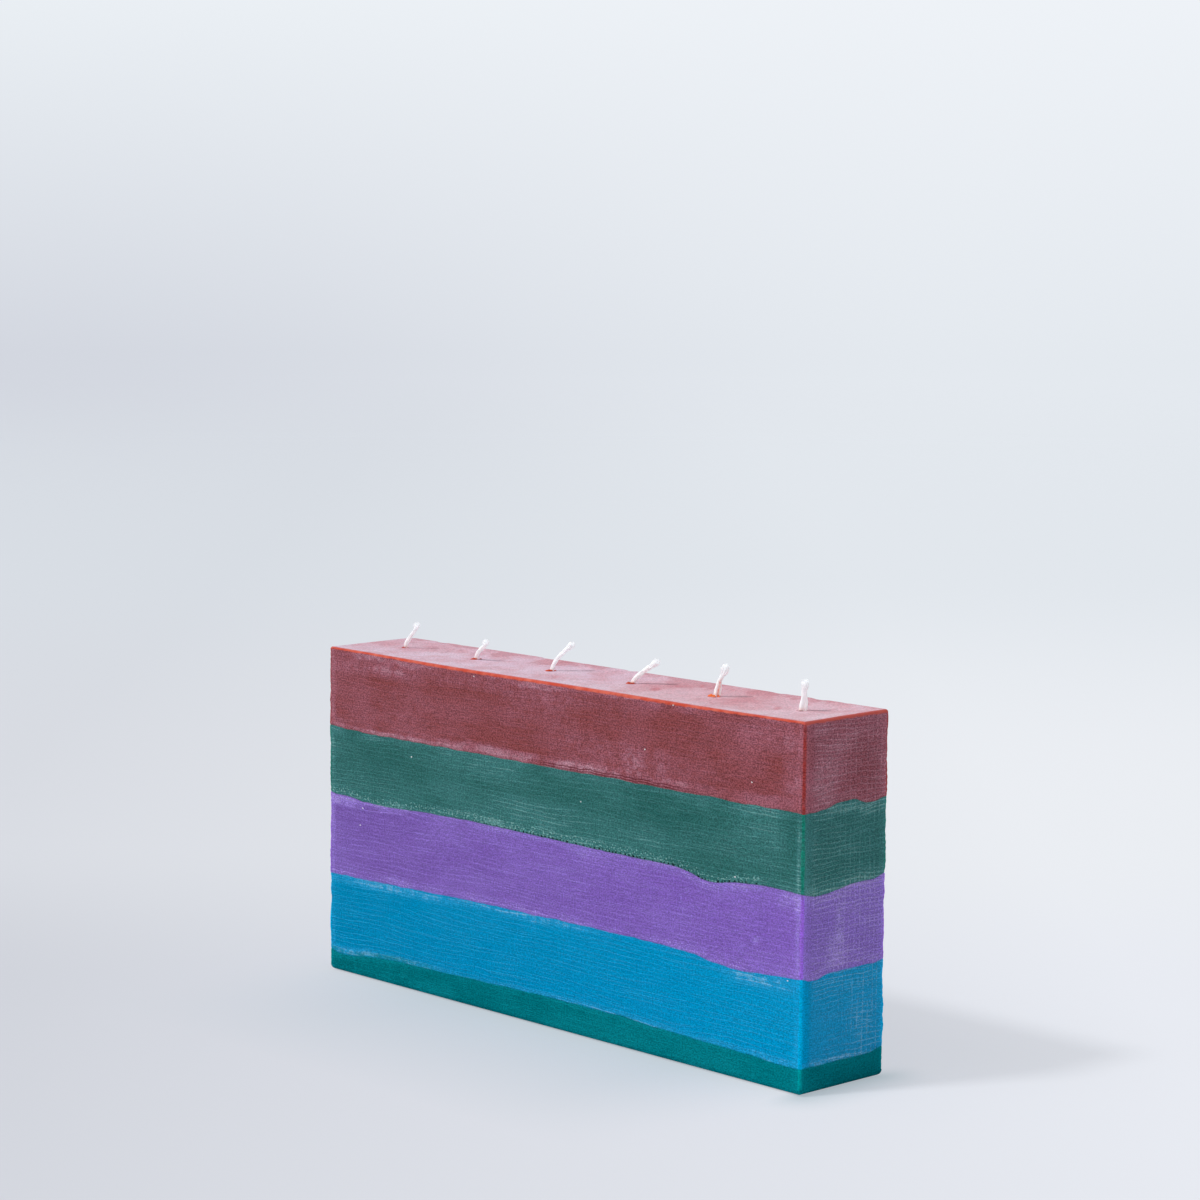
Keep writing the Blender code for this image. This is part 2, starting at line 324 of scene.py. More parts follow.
def seam_height(seam, x, y):
    """Height of a seam at many places: its level, what each swell adds and a slight raggedness."""
    level, swells = seam
    height = np.full(len(x), level)
    if swells and level < block_height:
        spot = np.column_stack((x, y, np.full(len(x), level * 100)))
        height += seam_rough * soft_noise(spot, (0.0052, 0.0052, 1.0), 7)
        height += seam_rough * soft_noise(spot, (0.0024, 0.0024, 1.0), 8)
    for along, across, rise, reach_along, reach_across in swells:
        dx = (x - along * block_length) / reach_along
        dy = (y - across * block_width) / reach_across
        height += rise * np.exp(-dx * dx - dy * dy)
    return height


def cell_edges(size, regular_cells):
    """Where the cells' edges lie from one side of the block to the other."""
    near_side = [edge - size / 2 for edge in corner_cells]
    middle = np.linspace(near_side[-1], -near_side[-1], regular_cells + 1)[1:-1]
    return np.array([*near_side, *middle, *[-edge for edge in reversed(near_side)]])


def read_points(piece):
    """The places of a mesh's points, as an array."""
    points = np.empty(len(piece.data.vertices) * 3)
    piece.data.vertices.foreach_get("co", points)
    return points.reshape(-1, 3)


def write_points(piece, points):
    """Move a mesh's points."""
    piece.data.vertices.foreach_set("co", points.ravel())
    piece.data.update()


def only_select(piece):
    """Make one object the active one and the only one selected."""
    bpy.ops.object.select_all(action="DESELECT")
    piece.select_set(True)
    bpy.context.view_layer.objects.active = piece


def cut_finer(piece, cuts, kind, wanted):
    """In edit mode, select the edges or faces that are wanted and subdivide them."""
    only_select(piece)
    bpy.ops.object.mode_set(mode="EDIT")
    bpy.ops.mesh.select_mode(type="FACE" if kind == "faces" else "EDGE")
    bpy.ops.mesh.select_all(action="DESELECT")
    edit_mesh = bmesh.from_edit_mesh(piece.data)
    for item in getattr(edit_mesh, kind):
        if wanted(item):
            item.select_set(True)
    edit_mesh.select_flush_mode()
    bmesh.update_edit_mesh(piece.data)
    bpy.ops.mesh.subdivide(number_cuts=cuts)
    bpy.ops.object.mode_set(mode="OBJECT")


def raise_block(name, low, high, rows, fine_top=False, fine_foot=False):
    """A grid of the block's plan, raised from one level to another and cut finely where it shows."""
    bpy.ops.object.select_all(action="DESELECT")
    edges_x = cell_edges(block_length, cells_along)
    edges_y = cell_edges(block_width, cells_across)
    bpy.ops.mesh.primitive_grid_add(x_subdivisions=len(edges_x) - 1, y_subdivisions=len(edges_y) - 1, size=1)
    piece = bpy.context.object
    piece.name = name
    piece.data.name = name
    points = read_points(piece)
    points[:, 0] = edges_x[np.rint((points[:, 0] + 0.5) * (len(edges_x) - 1)).astype(int)]
    points[:, 1] = edges_y[np.rint((points[:, 1] + 0.5) * (len(edges_y) - 1)).astype(int)]
    points[:, 2] = low
    write_points(piece, points)

    bpy.ops.object.mode_set(mode="EDIT")
    bpy.ops.mesh.select_all(action="SELECT")
    bpy.ops.mesh.extrude_region_move(TRANSFORM_OT_translate={"value": (0, 0, high - low)})
    bpy.ops.object.mode_set(mode="OBJECT")

    def upright(edge):
        return abs(edge.verts[0].co.z - edge.verts[1].co.z) > (high - low) / 2

    def shows(face):
        middle = face.calc_center_median()
        at_side = min(block_length / 2 - abs(middle.x), block_width / 2 - abs(middle.y)) < corner_cells[-1]
        is_top = face.normal.z > 0.5
        is_foot = face.normal.z < -0.5
        return (not is_top and not is_foot) or (is_top and fine_top) or (is_foot and fine_foot and at_side)

    cut_finer(piece, rows - 1, "edges", upright)
    cut_finer(piece, finer - 1, "faces", shows)
    return piece


def cut_channels(piece, outline):
    """Cut the space of each wick out of a body. The outline is the cutter's radii, from the foot up."""
    bpy.ops.object.select_all(action="DESELECT")
    bpy.ops.mesh.primitive_circle_add(vertices=24, radius=outline[0][0], fill_type="NGON")
    cutter = bpy.context.object
    cutter.data.transform(Matrix.Translation((first_wick, 0, outline[0][1])))
    bpy.ops.object.mode_set(mode="EDIT")
    for (radius, height), (next_radius, next_height) in zip(outline, outline[1:]):
        bpy.ops.mesh.extrude_region_move(TRANSFORM_OT_translate={"value": (0, 0, next_height - height)})
        spread = next_radius / radius
        bpy.ops.transform.resize(value=(spread, spread, 1), center_override=(first_wick, 0, next_height))
    bpy.ops.mesh.select_all(action="SELECT")
    bpy.ops.mesh.normals_make_consistent(inside=False)
    bpy.ops.object.mode_set(mode="OBJECT")
    row = cutter.modifiers.new("row", "ARRAY")
    row.count = wick_count
    row.use_relative_offset = False
    row.use_constant_offset = True
    row.constant_offset_displace = (wick_pitch, 0, 0)
    bpy.ops.object.modifier_apply(modifier=row.name)
    only_select(piece)
    cut = piece.modifiers.new("channels", "BOOLEAN")
    cut.operation = "DIFFERENCE"
    cut.object = cutter
    bpy.ops.object.modifier_apply(modifier=cut.name)
    bpy.data.objects.remove(cutter)


def inward_distance(x, y):
    """How far a place in the block's plan lies inside its outline, and the way out from it."""
    inner_x = np.clip(x, corner_radius - block_length / 2, block_length / 2 - corner_radius)
    inner_y = np.clip(y, corner_radius - block_width / 2, block_width / 2 - corner_radius)
    out_x = x - inner_x
    out_y = y - inner_y
    reach = np.hypot(out_x, out_y)
    to_side = np.minimum(block_length / 2 - np.abs(x), block_width / 2 - np.abs(y))
    distance = np.where(reach > 0, corner_radius - reach, to_side)
    safe = np.where(reach > 0, reach, 1)
    return distance, out_x / safe, out_y / safe


def crowd_to_corner(places, half):
    """Draw the cells of a corner's round closer together towards the block's side."""
    from_side = half - np.abs(places)
    share = np.clip(from_side / corner_radius, 0, 1)
    crowded = np.where(from_side < corner_radius, corner_radius * share ** corner_crowding, from_side)
    return np.sign(places) * (half - crowded)


def round_plan_corners(x, y):
    """Turn the four square corners of the plan into quarter circles."""
    along = np.clip((np.abs(x) - block_length / 2) / corner_radius + 1, 0, 1)
    across = np.clip((np.abs(y) - block_width / 2) / corner_radius + 1, 0, 1)
    in_corner = (along > 0) & (across > 0)
    round_x = block_length / 2 - corner_radius + corner_radius * along * np.sqrt(1 - across ** 2 / 2)
    round_y = block_width / 2 - corner_radius + corner_radius * across * np.sqrt(1 - along ** 2 / 2)
    return (
        np.where(in_corner, np.sign(x) * round_x, x),
        np.where(in_corner, np.sign(y) * round_y, y),
    )


def edge_drop(distance, radius):
    """How far a rounded edge falls away at a distance in from the side."""
    inner = np.clip(radius - distance, 0, radius)
    return radius - np.sqrt(radius ** 2 - inner ** 2)


# The mould leaves level lines on the wax about 1.65 mm apart, and fainter upright ones. They are
# shallow on the faces and bite deeper into the upright corners.
line_pitch = 0.00165
line_wander = 0.00055
line_depth = 0.000022
upright_pitch = 0.0022
upright_depth = 0.000012
corner_bite = 0.00016
bite_pitch = 0.0021
bite_reach = 0.0010
corner_sway = 0.00026
seam_groove = 0.00006
corner_groove = 0.00022
groove_reach = 0.00030
face_unevenness = 0.00005
# The underside counts as far from the corners, so their colour stays off it
foot_from_corner = 0.009


def spread_patches(patches, along, from_low, from_high, on_front, on_end):
    """How strongly some soft patches cover the points of the walls.

    A patch is its face, its place along, its height over the lower seam or, below 0, under the upper
    one, its slope, its reach along and upwards, and its strength.
    """
    cover = np.zeros(len(along))
    for face, where, height, slope, reach_along, reach_up, strength in patches:
        run = (along - where) / reach_along
        above = from_low - height if height >= 0 else -from_high - height
        rise = (above - slope * (along - where)) / reach_up
        patch = strength * np.exp(-run ** 4 - rise ** 4)
        cover += np.where(on_end if face == "end" else on_front, patch, 0)
    return cover


def finish_wax(piece, lower, upper, seed, lines=1.0, top_arris=0.0, foot_round=0.0, hazes=(), stains=(),
               top_shape=None):
    """Shape a raised block into one pour, and note on its points what its material needs.

    The points keep their distance in millimetres from the seams and from the upright corners,
    and how hazy or stained the wax is there.
    """
    points = read_points(piece)
    low_level, high_level = lower[0], upper[0]
    half_length, half_width = block_length / 2, block_width / 2
    tiny = 1e-6
    raised = (points[:, 2] - low_level) / (high_level - low_level)
    at_side = np.minimum(half_length - np.abs(points[:, 0]), half_width - np.abs(points[:, 1])) < tiny
    on_foot = raised < tiny
    on_top = raised > 1 - tiny
    in_channel = ~at_side & ~on_foot & ~on_top

    x = crowd_to_corner(points[:, 0], half_length)
    y = crowd_to_corner(points[:, 1], half_width)
    x, y = round_plan_corners(x, y)
    x = np.where(in_channel, points[:, 0], x)
    y = np.where(in_channel, points[:, 1], y)
    distance, out_x, out_y = inward_distance(x, y)
    distance = np.where(at_side, 0, np.maximum(distance, 0))

    clearance_low = join_clearance if low_level > 0 else 0.0
    clearance_high = join_clearance if not top_arris else 0.0
    low = seam_height(lower, x, y) + clearance_low
    high = seam_height(upper, x, y) - clearance_high
    low_wall = low + foot_round
    high_wall = high - top_arris
    wall_height = low_wall + raised * (high_wall - low_wall)
    z = np.where(at_side, wall_height, points[:, 2])
    if foot_round:
        z = np.where(on_foot, low + edge_drop(distance, foot_round), z)
    else:
        z = np.where(on_foot, low, z)
    if top_arris:
        z = np.where(on_top, high - edge_drop(distance, top_arris), z)
    else:
        z = np.where(on_top, high, z)
    if top_shape:
        z = np.where(on_top, top_shape(x, y, z, distance), z)

    # What the mould prints on the walls: along is the way round a wall, up is its height
    on_end = np.abs(out_x) > np.abs(out_y)
    along = np.where(on_end, y, x)
    side_number = np.where(on_end, np.sign(x) * 2, np.sign(y))
    spot = np.column_stack((along, side_number * 0.5, z))
    wander = line_wander * soft_noise(spot, (0.022, 0.1, 0.012), seed)
    level_wave = np.cos(2 * math.pi * (z + wander) / line_pitch)
    dashes = smooth_step(soft_noise(spot, (0.0042, 0.1, line_pitch / 2), seed + 1), -0.35, 0.45)
    patches = 0.55 + 0.45 * soft_noise(spot, (0.018, 0.1, 0.010), seed + 2)
    upright_wave = np.cos(2 * math.pi * (along + wander) / upright_pitch)
    upright_share = np.where(on_end, 1.0, 0.25) * (0.6 + 0.4 * soft_noise(spot, (0.012, 0.1, 0.02), seed + 3))
    level_print = smooth_step(level_wave, -0.2, 1.0) * dashes * patches
    upright_print = smooth_step(upright_wave, 0.0, 1.0) * upright_share

    from_corner = np.where(on_end, half_width - np.abs(y), half_length - np.abs(x))
    near_corner = np.exp(-(from_corner / bite_reach) ** 2)
    corner_spot = np.column_stack((np.sign(x), np.sign(y), z))
    bite_wander = 0.0008 * soft_noise(corner_spot, (0.5, 0.5, 0.006), 91)
    bites = 0.5 + 0.5 * np.cos(2 * math.pi * (z + bite_wander) / bite_pitch)
    bites *= 0.5 + 0.5 * soft_noise(corner_spot, (0.5, 0.5, 0.0023), 92)
    sway = soft_noise(corner_spot, (0.5, 0.5, 0.0085), 93)
    sway += 0.7 * soft_noise(corner_spot, (0.5, 0.5, 0.0034), 94)
    from_low = z - low
    from_high = high - z
    groove = np.zeros(len(z))
    if not foot_round:
        groove += np.exp(-(from_low / groove_reach) ** 2)
    if not top_arris:
        groove += np.exp(-(from_high / groove_reach) ** 2)
    groove *= 0.6 + 0.4 * soft_noise(spot, (0.004, 0.1, 0.01), seed + 6)
    uneven = face_unevenness * soft_noise(spot, (0.03, 0.1, 0.02), seed + 7)
    depth = (
        lines * line_depth * level_print
        + lines * upright_depth * upright_print
        + near_corner * (corner_bite * bites + corner_sway * sway) * (0.35 + 0.65 * lines)
        + (seam_groove + corner_groove * near_corner) * groove
        + face_unevenness + uneven
    )
    depth = np.where(at_side, depth, 0)
    x = x - out_x * depth
    y = y - out_y * depth
    write_points(piece, np.column_stack((x, y, z)))

    on_front = at_side & (y < corner_radius - half_width)
    on_right = at_side & (x > half_length - corner_radius)
    walls = (along, from_low, from_high, on_front, on_right)
    notes = {
        "from_low": from_low * 1000,
        "from_high": from_high * 1000,
        "from_corner": np.select([at_side, on_foot], [from_corner, foot_from_corner], distance) * 1000,
        "haze": spread_patches(hazes, *walls),
        "stain": spread_patches(stains, *walls),
        "on_top": np.where(on_top, smooth_step(distance, 0.0002, 0.0012), 0),
    }
    for name, values in notes.items():
        attribute = piece.data.attributes.new(name, "FLOAT", "POINT")
        attribute.data.foreach_set("value", values.astype(np.float32))
    only_select(piece)
    bpy.ops.object.mode_set(mode="EDIT")
    bpy.ops.mesh.select_all(action="SELECT")
    bpy.ops.mesh.normals_make_consistent(inside=False)
    bpy.ops.object.mode_set(mode="OBJECT")
    bpy.ops.object.shade_smooth_by_angle(angle=math.radians(50))


def start_group(name, takes, gives):
    """A shader node group with named inputs and outputs. A default is a number, or None for a vector."""
    group = bpy.data.node_groups.new(name, "ShaderNodeTree")
    for socket, default in takes.items():
        kind = "NodeSocketVector" if default is None else "NodeSocketFloat"
        made = group.interface.new_socket(socket, in_out="INPUT", socket_type=kind)
        if default is not None:
            made.default_value = default
    for socket in gives:
        group.interface.new_socket(socket, in_out="OUTPUT", socket_type="NodeSocketFloat")
    return group, group.nodes.new("NodeGroupInput").outputs, group.nodes.new("NodeGroupOutput").inputs


def add_noise(tree, spot, scale, detail=2.0, roughness=0.5):
    """Noise with so many bumps to a metre."""
    values = {"Vector": spot, "Scale": scale, "Detail": detail, "Roughness": roughness}
    return add_node(tree, "ShaderNodeTexNoise", values).outputs[0]


def stretch(tree, spot, scale):
    """Scale a place by a different amount each way."""
    values = {"Vector": spot, "Scale": scale}
    return add_node(tree, "ShaderNodeMapping", values, vector_type="POINT").outputs[0]


# The mould's lines, finer than the mesh has them: long level lines, a closer set of shorter ones, and
# upright threads that cross them into a weave towards the back of the end face. A fine grain lies
# between, and near the front corner the end face is smooth.
close_pitch = 0.00119
quick_reach = 0.0014
mould_lines, taken, given = start_group(
    "Mould lines", {"Place": None, "End face": 0.0}, ("Lines", "Grain", "Height", "Lined"),
)
tree = mould_lines
place = taken["Place"]
end_face = taken["End face"]
parts = add_node(tree, "ShaderNodeSeparateXYZ", {0: place}).outputs
slow_wander = add_maths(tree, "MULTIPLY", add_noise(tree, stretch(tree, place, (14, 22, 70)), 1.0), 0.008)
quick_wander = add_product(
    tree,
    add_noise(tree, stretch(tree, place, (210, 210, 280)), 1.0),
    quick_reach,
    add_range(tree, end_face, 0.0, 1.0, 0.35, 0.75),
)
height = add_maths(tree, "ADD", parts["Z"], add_maths(tree, "ADD", slow_wander, quick_wander))
level_turn = add_maths(tree, "MULTIPLY", height, 2 * math.pi / line_pitch)
level_wave = add_range(tree, add_maths(tree, "SINE", level_turn), 0.60, 1.0)
run_scale = add_node(
    tree, "ShaderNodeMix", {0: end_face, 4: (34, 34, 520), 5: (38, 38, 480)}, data_type="VECTOR",
).outputs[1]
run_spot = add_node(
    tree, "ShaderNodeVectorMath", {0: place, 1: run_scale}, operation="MULTIPLY",
).outputs[0]
run_low = add_range(tree, end_face, 0.0, 1.0, 0.32, 0.24, smooth=False)
run_high = add_range(tree, end_face, 0.0, 1.0, 0.54, 0.48, smooth=False)
run_ends = add_range(tree, add_noise(tree, run_spot, 1.0, 3.0), run_low, run_high)
line_patch = add_range(tree, add_noise(tree, place, 48), 0.36, 0.60, 0.60, 1.0)
smooth_zone = add_range(tree, parts["Y"], -0.0172, -0.0140)
smooth_zone = add_range(tree, end_face, 0.0, 1.0, 1.0, smooth_zone, smooth=False)
levels = add_product(tree, level_wave, run_ends, line_patch)
close_turn = add_maths(tree, "MULTIPLY", height, 2 * math.pi / close_pitch)
close_wave = add_range(tree, add_maths(tree, "SINE", close_turn), 0.55, 1.0)
close_noise = add_noise(tree, stretch(tree, place, (60, 60, 620)), 1.0, 3.0)
close_ends = add_range(tree, close_noise, 0.46, 0.62, 0.0, 0.85)
levels = add_maths(tree, "MAXIMUM", levels, add_maths(tree, "MULTIPLY", close_wave, close_ends))
side_wander = add_maths(tree, "MULTIPLY", add_noise(tree, stretch(tree, place, (70, 70, 14)), 1.0), 0.006)
along = add_maths(tree, "ADD", add_maths(tree, "ADD", parts["X"], parts["Y"]), side_wander)
upright_turn = add_maths(tree, "MULTIPLY", along, 2 * math.pi / upright_pitch)
upright_wave = add_range(tree, add_maths(tree, "SINE", upright_turn), 0.45, 0.98)
upright_noise = add_noise(tree, stretch(tree, place, (420, 420, 110)), 1.0, 3.0)
uprights = add_maths(tree, "MULTIPLY", upright_wave, add_range(tree, upright_noise, 0.32, 0.54))
dotted = add_range(tree, add_noise(tree, stretch(tree, place, (200, 200, 1300)), 1.0), 0.38, 0.60, 0.25, 1.0)
weave = add_range(tree, parts["Y"], -0.010, 0.004, 0.45, 0.95)
weave = add_maths(tree, "MULTIPLY", weave, add_range(tree, parts["Y"], 0.0184, 0.0170))
weave = add_range(tree, end_face, 0.0, 1.0, 0.30, weave, smooth=False)
uprights = add_product(tree, uprights, dotted, weave)
lines = add_maths(tree, "MULTIPLY", add_maths(tree, "MAXIMUM", levels, uprights), smooth_zone)
fine_grain = add_noise(tree, stretch(tree, place, (1400, 1400, 2200)), 1.0, 2.0, 0.6)
level_streaks = add_noise(tree, stretch(tree, place, (330, 330, 2300)), 1.0, 2.0, 0.6)
grain = add_sum(
    tree,
    add_maths(tree, "MULTIPLY", fine_grain, 0.80),
    add_maths(tree, "MULTIPLY", level_streaks, 0.20),
)
grain = add_range(tree, grain, 0.35, 0.65)
height_sum = add_maths(tree, "ADD", lines, add_maths(tree, "MULTIPLY", grain, 0.6))
tree.links.new(lines, given["Lines"])
tree.links.new(smooth_zone, given["Lined"])
tree.links.new(grain, given["Grain"])
tree.links.new(height_sum, given["Height"])

# Bloom is the thin pale frost that beeswax and palm wax draw out as they set. It is strongest in a
# frame along each colour's borders, and it lies in soft clouds over the rest. Where a hot pour met
# the set wax below, fine pits follow the seam, with pale specks just above it.
pit_pitch = 0.0019
pit_wander = 0.0040
bloom_group, taken, given = start_group(
    "Wax bloom",
    {"Place": None, "End face": 0.0, "From low": 9.0, "From high": 9.0, "From corner": 9.0, "Haze": 0.0,
     "Frame": 0.5, "Clouds": 0.4, "Width": 3.0, "Corner haze": 0.5},
    ("Bloom", "Corner", "Seam pits", "Seam specks"),
)
tree = bloom_group
place = taken["Place"]
from_seams = add_maths(tree, "MINIMUM", taken["From low"], taken["From high"])
width = add_product(tree, taken["Width"], add_range(tree, add_noise(tree, place, 38), 0.3, 0.7, 0.5, 1.5))
inner_round = add_maths(tree, "MULTIPLY", width, 1.15)
short_up = add_maths(tree, "MAXIMUM", add_maths(tree, "SUBTRACT", inner_round, from_seams), 0.0)
from_side = add_maths(tree, "ADD", taken["From corner"], add_maths(tree, "MULTIPLY", taken["End face"], 9.0))
short_side = add_maths(tree, "MAXIMUM", add_maths(tree, "SUBTRACT", inner_round, from_side), 0.0)
square_sum = add_sum(
    tree,
    add_maths(tree, "POWER", short_up, 2.0),
    add_maths(tree, "POWER", short_side, 2.0),
)
from_border = add_maths(tree, "SUBTRACT", inner_round, add_maths(tree, "SQRT", square_sum))
rough_edge = add_range(tree, add_noise(tree, place, 320, 3.0), 0.25, 0.75, -0.7, 0.7)
from_border = add_maths(tree, "ADD", from_border, rough_edge)
frame_mask = add_range(tree, from_border, width, add_maths(tree, "MULTIPLY", width, 0.6))
frame_patch = add_range(tree, add_noise(tree, place, 55), 0.34, 0.66, 0.1, 1.15)
frame_mask = add_product(
    tree, frame_mask, frame_patch, taken["Frame"],
    add_range(tree, taken["End face"], 0.0, 1.0, 1.0, 0.40),
)
clouds = add_range(tree, add_noise(tree, stretch(tree, place, (36, 36, 90)), 1.0, 4.0, 0.55), 0.35, 0.7)
clouds = add_maths(tree, "MULTIPLY", clouds, taken["Clouds"])
broken = add_range(tree, add_noise(tree, place, 420, 3.0, 0.6), 0.32, 0.62, 0.35, 1.1)
haze = add_maths(tree, "MULTIPLY", taken["Haze"], broken)
corner_haze = add_product(
    tree,
    add_range(tree, from_side, 0.9, 1.9),
    add_range(tree, from_side, 3.6, 1.9),
    add_range(tree, add_noise(tree, place, 120), 0.35, 0.6, 0.4, 1.0),
    taken["Corner haze"],
)
bloom = add_maths(tree, "ADD", frame_mask, add_maths(tree, "ADD", clouds, haze))
bloom = add_maths(tree, "MAXIMUM", bloom, corner_haze, clamp=True)
corner = add_range(tree, taken["From corner"], 1.15, 0.60)
parts = add_node(tree, "ShaderNodeSeparateXYZ", {0: place}).outputs
pit_step = add_sum(tree, parts["X"], add_product(tree, add_noise(tree, place, 230), pit_wander))
pit_turn = add_maths(tree, "MULTIPLY", pit_step, 2 * math.pi / pit_pitch)
pit_row = add_range(tree, add_maths(tree, "SINE", pit_turn), 0.0, 0.6)
pit_band = add_product(
    tree,
    add_range(tree, taken["From low"], 0.92, 0.58),
    add_range(tree, taken["From low"], 0.02, 0.15),
)
pit_run = add_product(
    tree,
    add_range(tree, parts["X"], -0.070, 0.002),
    add_range(tree, parts["X"], 0.104, 0.098),
    add_range(tree, add_noise(tree, place, 260), 0.34, 0.46),
)
pits = add_product(tree, pit_row, pit_band, pit_run)
speck_noise = add_range(tree, add_noise(tree, stretch(tree, place, (1100, 1100, 1500)), 1.0), 0.54, 0.64)
speck_band = add_product(
    tree,
    add_range(tree, taken["From low"], 4.2, 1.8),
    add_range(tree, taken["From low"], 0.2, 0.7),
)
seam_specks = add_product(tree, speck_noise, speck_band, add_range(tree, parts["X"], 0.112, 0.096))
tree.links.new(bloom, given["Bloom"])
tree.links.new(corner, given["Corner"])
tree.links.new(pits, given["Seam pits"])
tree.links.new(seam_specks, given["Seam specks"])


def read_note(tree, name):
    """Read one of the values that the shaping left on the mesh's points."""
    return add_node(tree, "ShaderNodeAttribute", attribute_name=name).outputs["Fac"]


def mix_wax(name, deep, deep_right, half, bloomed, corner, stain, below, frame_share, clouds, corner_haze,
            lines, end_lines, end_haze, grain, gloss, frame_width=2.8, clear_corner=0.0, pits=0.0,
            specks=0.0, roughness=0.5, bump=0.00008):
    """One colour of wax: deep from left to right, half and fully bloomed, its corners and stains."""
    material = bpy.data.materials.new(name)
    material.use_nodes = True
    tree = material.node_tree
    shader = tree.nodes["Principled BSDF"]
    coordinates = add_node(tree, "ShaderNodeTexCoord").outputs
    place = coordinates["Object"]
    facing = add_node(tree, "ShaderNodeSeparateXYZ", {0: coordinates["Normal"]}).outputs["X"]
    end_face = add_range(tree, add_maths(tree, "ABSOLUTE", facing), 0.6, 0.9)
    prints = add_node(
        tree, "ShaderNodeGroup", node_tree=mould_lines, values={"Place": place, "End face": end_face},
    ).outputs
    from_low = read_note(tree, "from_low")
    from_corner = read_note(tree, "from_corner")
    blooms = add_node(tree, "ShaderNodeGroup", node_tree=bloom_group, values={
        "Place": place, "End face": end_face, "From low": from_low, "From high": read_note(tree, "from_high"),
        "From corner": from_corner, "Haze": read_note(tree, "haze"),
        "Frame": frame_share, "Clouds": clouds, "Width": frame_width, "Corner haze": corner_haze,
    }).outputs
    line_share = add_range(tree, end_face, 0.0, 1.0, lines, end_lines, smooth=False)
    share = add_maths(tree, "ADD", blooms["Bloom"], add_maths(tree, "MULTIPLY", prints["Lines"], line_share))
    share = add_maths(tree, "ADD", share, add_maths(tree, "MULTIPLY", blooms["Seam specks"], specks))
    near_haze = end_haze * (1 - clear_corner)
    haze_there = add_range(tree, prints["Lined"], 0.0, 1.0, near_haze, end_haze, smooth=False)
    haze_there = add_maths(tree, "MULTIPLY", haze_there, add_range(tree, from_corner, 0.5, 1.8, 0.3, 1.0))
    share = add_maths(tree, "ADD", share, add_maths(tree, "MULTIPLY", end_face, haze_there), clamp=True)
    from_left = add_node(tree, "ShaderNodeSeparateXYZ", {0: place}).outputs["X"]
    to_right = add_range(tree, from_left, -0.12, 0.12, smooth=False)
    deep_here = add_colour_mix(tree, to_right, deep, deep_right)
    colour = add_colour_mix(tree, add_range(tree, share, 0.0, 0.5, smooth=False), deep_here, half)
    colour = add_colour_mix(tree, add_range(tree, share, 0.5, 1.0, smooth=False), colour, bloomed)
    stained = add_range(tree, add_noise(tree, place, 330, 3.0, 0.6), 0.35, 0.6, 0.35, 1.0)
    stain_share = add_maths(tree, "MULTIPLY", read_note(tree, "stain"), stained)
    colour = add_colour_mix(tree, stain_share, colour, stain)

    # A hot pour melts a little of the one below, so their colours run together at the seam
    melted_edge = add_range(tree, add_noise(tree, place, 500, 2.0), 0.3, 0.7, 0.30, 0.75)
    melted = add_range(tree, from_low, 0.0, melted_edge, 0.55, 0.0)
    colour = add_colour_mix(tree, melted, colour, below)
    # The upright corners are clear of bloom and brighter, partly a painted glow of light through the thin wax
    # there
    corner_wear_and_glow = add_range(tree, add_noise(tree, place, 420, 3.0), 0.3, 0.6, 0.55, 1.0)
    colour = add_colour_mix(tree, add_maths(tree, "MULTIPLY", blooms["Corner"], corner_wear_and_glow), colour, corner)
    grain_and_painted_light = add_range(tree, prints["Grain"], 0.0, 1.0, 1 - grain / 2, 1 + grain / 2, smooth=False)
    # Painted glow: the wax is lighter within a few millimetres of the upright corners, more on the end faces,
    # and lighter still right at the end faces' corners
    thin_there = add_range(tree, end_face, 0.0, 1.0, 0.10, 0.16, smooth=False)
    painted_glow_near_corner = add_maths(tree, "MULTIPLY", add_range(tree, from_corner, 5.0, 0.8), thin_there)
    grain_and_painted_light = add_maths(tree, "ADD", grain_and_painted_light, painted_glow_near_corner)
    painted_edge_glow = add_maths(tree, "MULTIPLY", add_range(tree, from_corner, 2.2, 0.9), end_face)
    grain_and_painted_light = add_maths(tree, "ADD", grain_and_painted_light, add_maths(tree, "MULTIPLY", painted_edge_glow, 0.20))
    # Painted shade: the colour darkens in the pits along the seam, which the bump presses in
    pit_shade = add_maths(tree, "MULTIPLY", blooms["Seam pits"], pits)
    grain_and_painted_light = add_maths(tree, "SUBTRACT", grain_and_painted_light, add_maths(tree, "MULTIPLY", pit_shade, 0.85))
    colour = add_node(
        tree, "ShaderNodeVectorMath", {0: colour, "Scale": grain_and_painted_light}, operation="SCALE",
    ).outputs[0]
    colour = add_colour_mix(tree, read_note(tree, "speck"), colour, crumb_colour)
    tree.links.new(colour, shader.inputs["Base Color"])
    shader.inputs["Specular IOR Level"].default_value = gloss
    matt = add_range(tree, share, 0.0, 1.0, roughness - 0.06, roughness + 0.12, smooth=False)
    tree.links.new(matt, shader.inputs["Roughness"])
    shader.inputs["Subsurface Weight"].default_value = 0.35
    shader.inputs["Subsurface Scale"].default_value = 0.0008
    shader.inputs["Subsurface Radius"].default_value = (1.0, 0.7, 0.7)
    relief_height = add_maths(tree, "SUBTRACT", prints["Height"], add_maths(tree, "MULTIPLY", pit_shade, 3.0))
    relief = add_node(tree, "ShaderNodeBump", {"Height": relief_height, "Distance": bump, "Strength": 1.0})
    tree.links.new(relief.outputs[0], shader.inputs["Normal"])
    return material


# Small pale crumbs of wax stick to the walls here and there
crumb_colour = linear(236, 234, 236)
crumb_sunk = 0.00003
crumb_size = 0.62


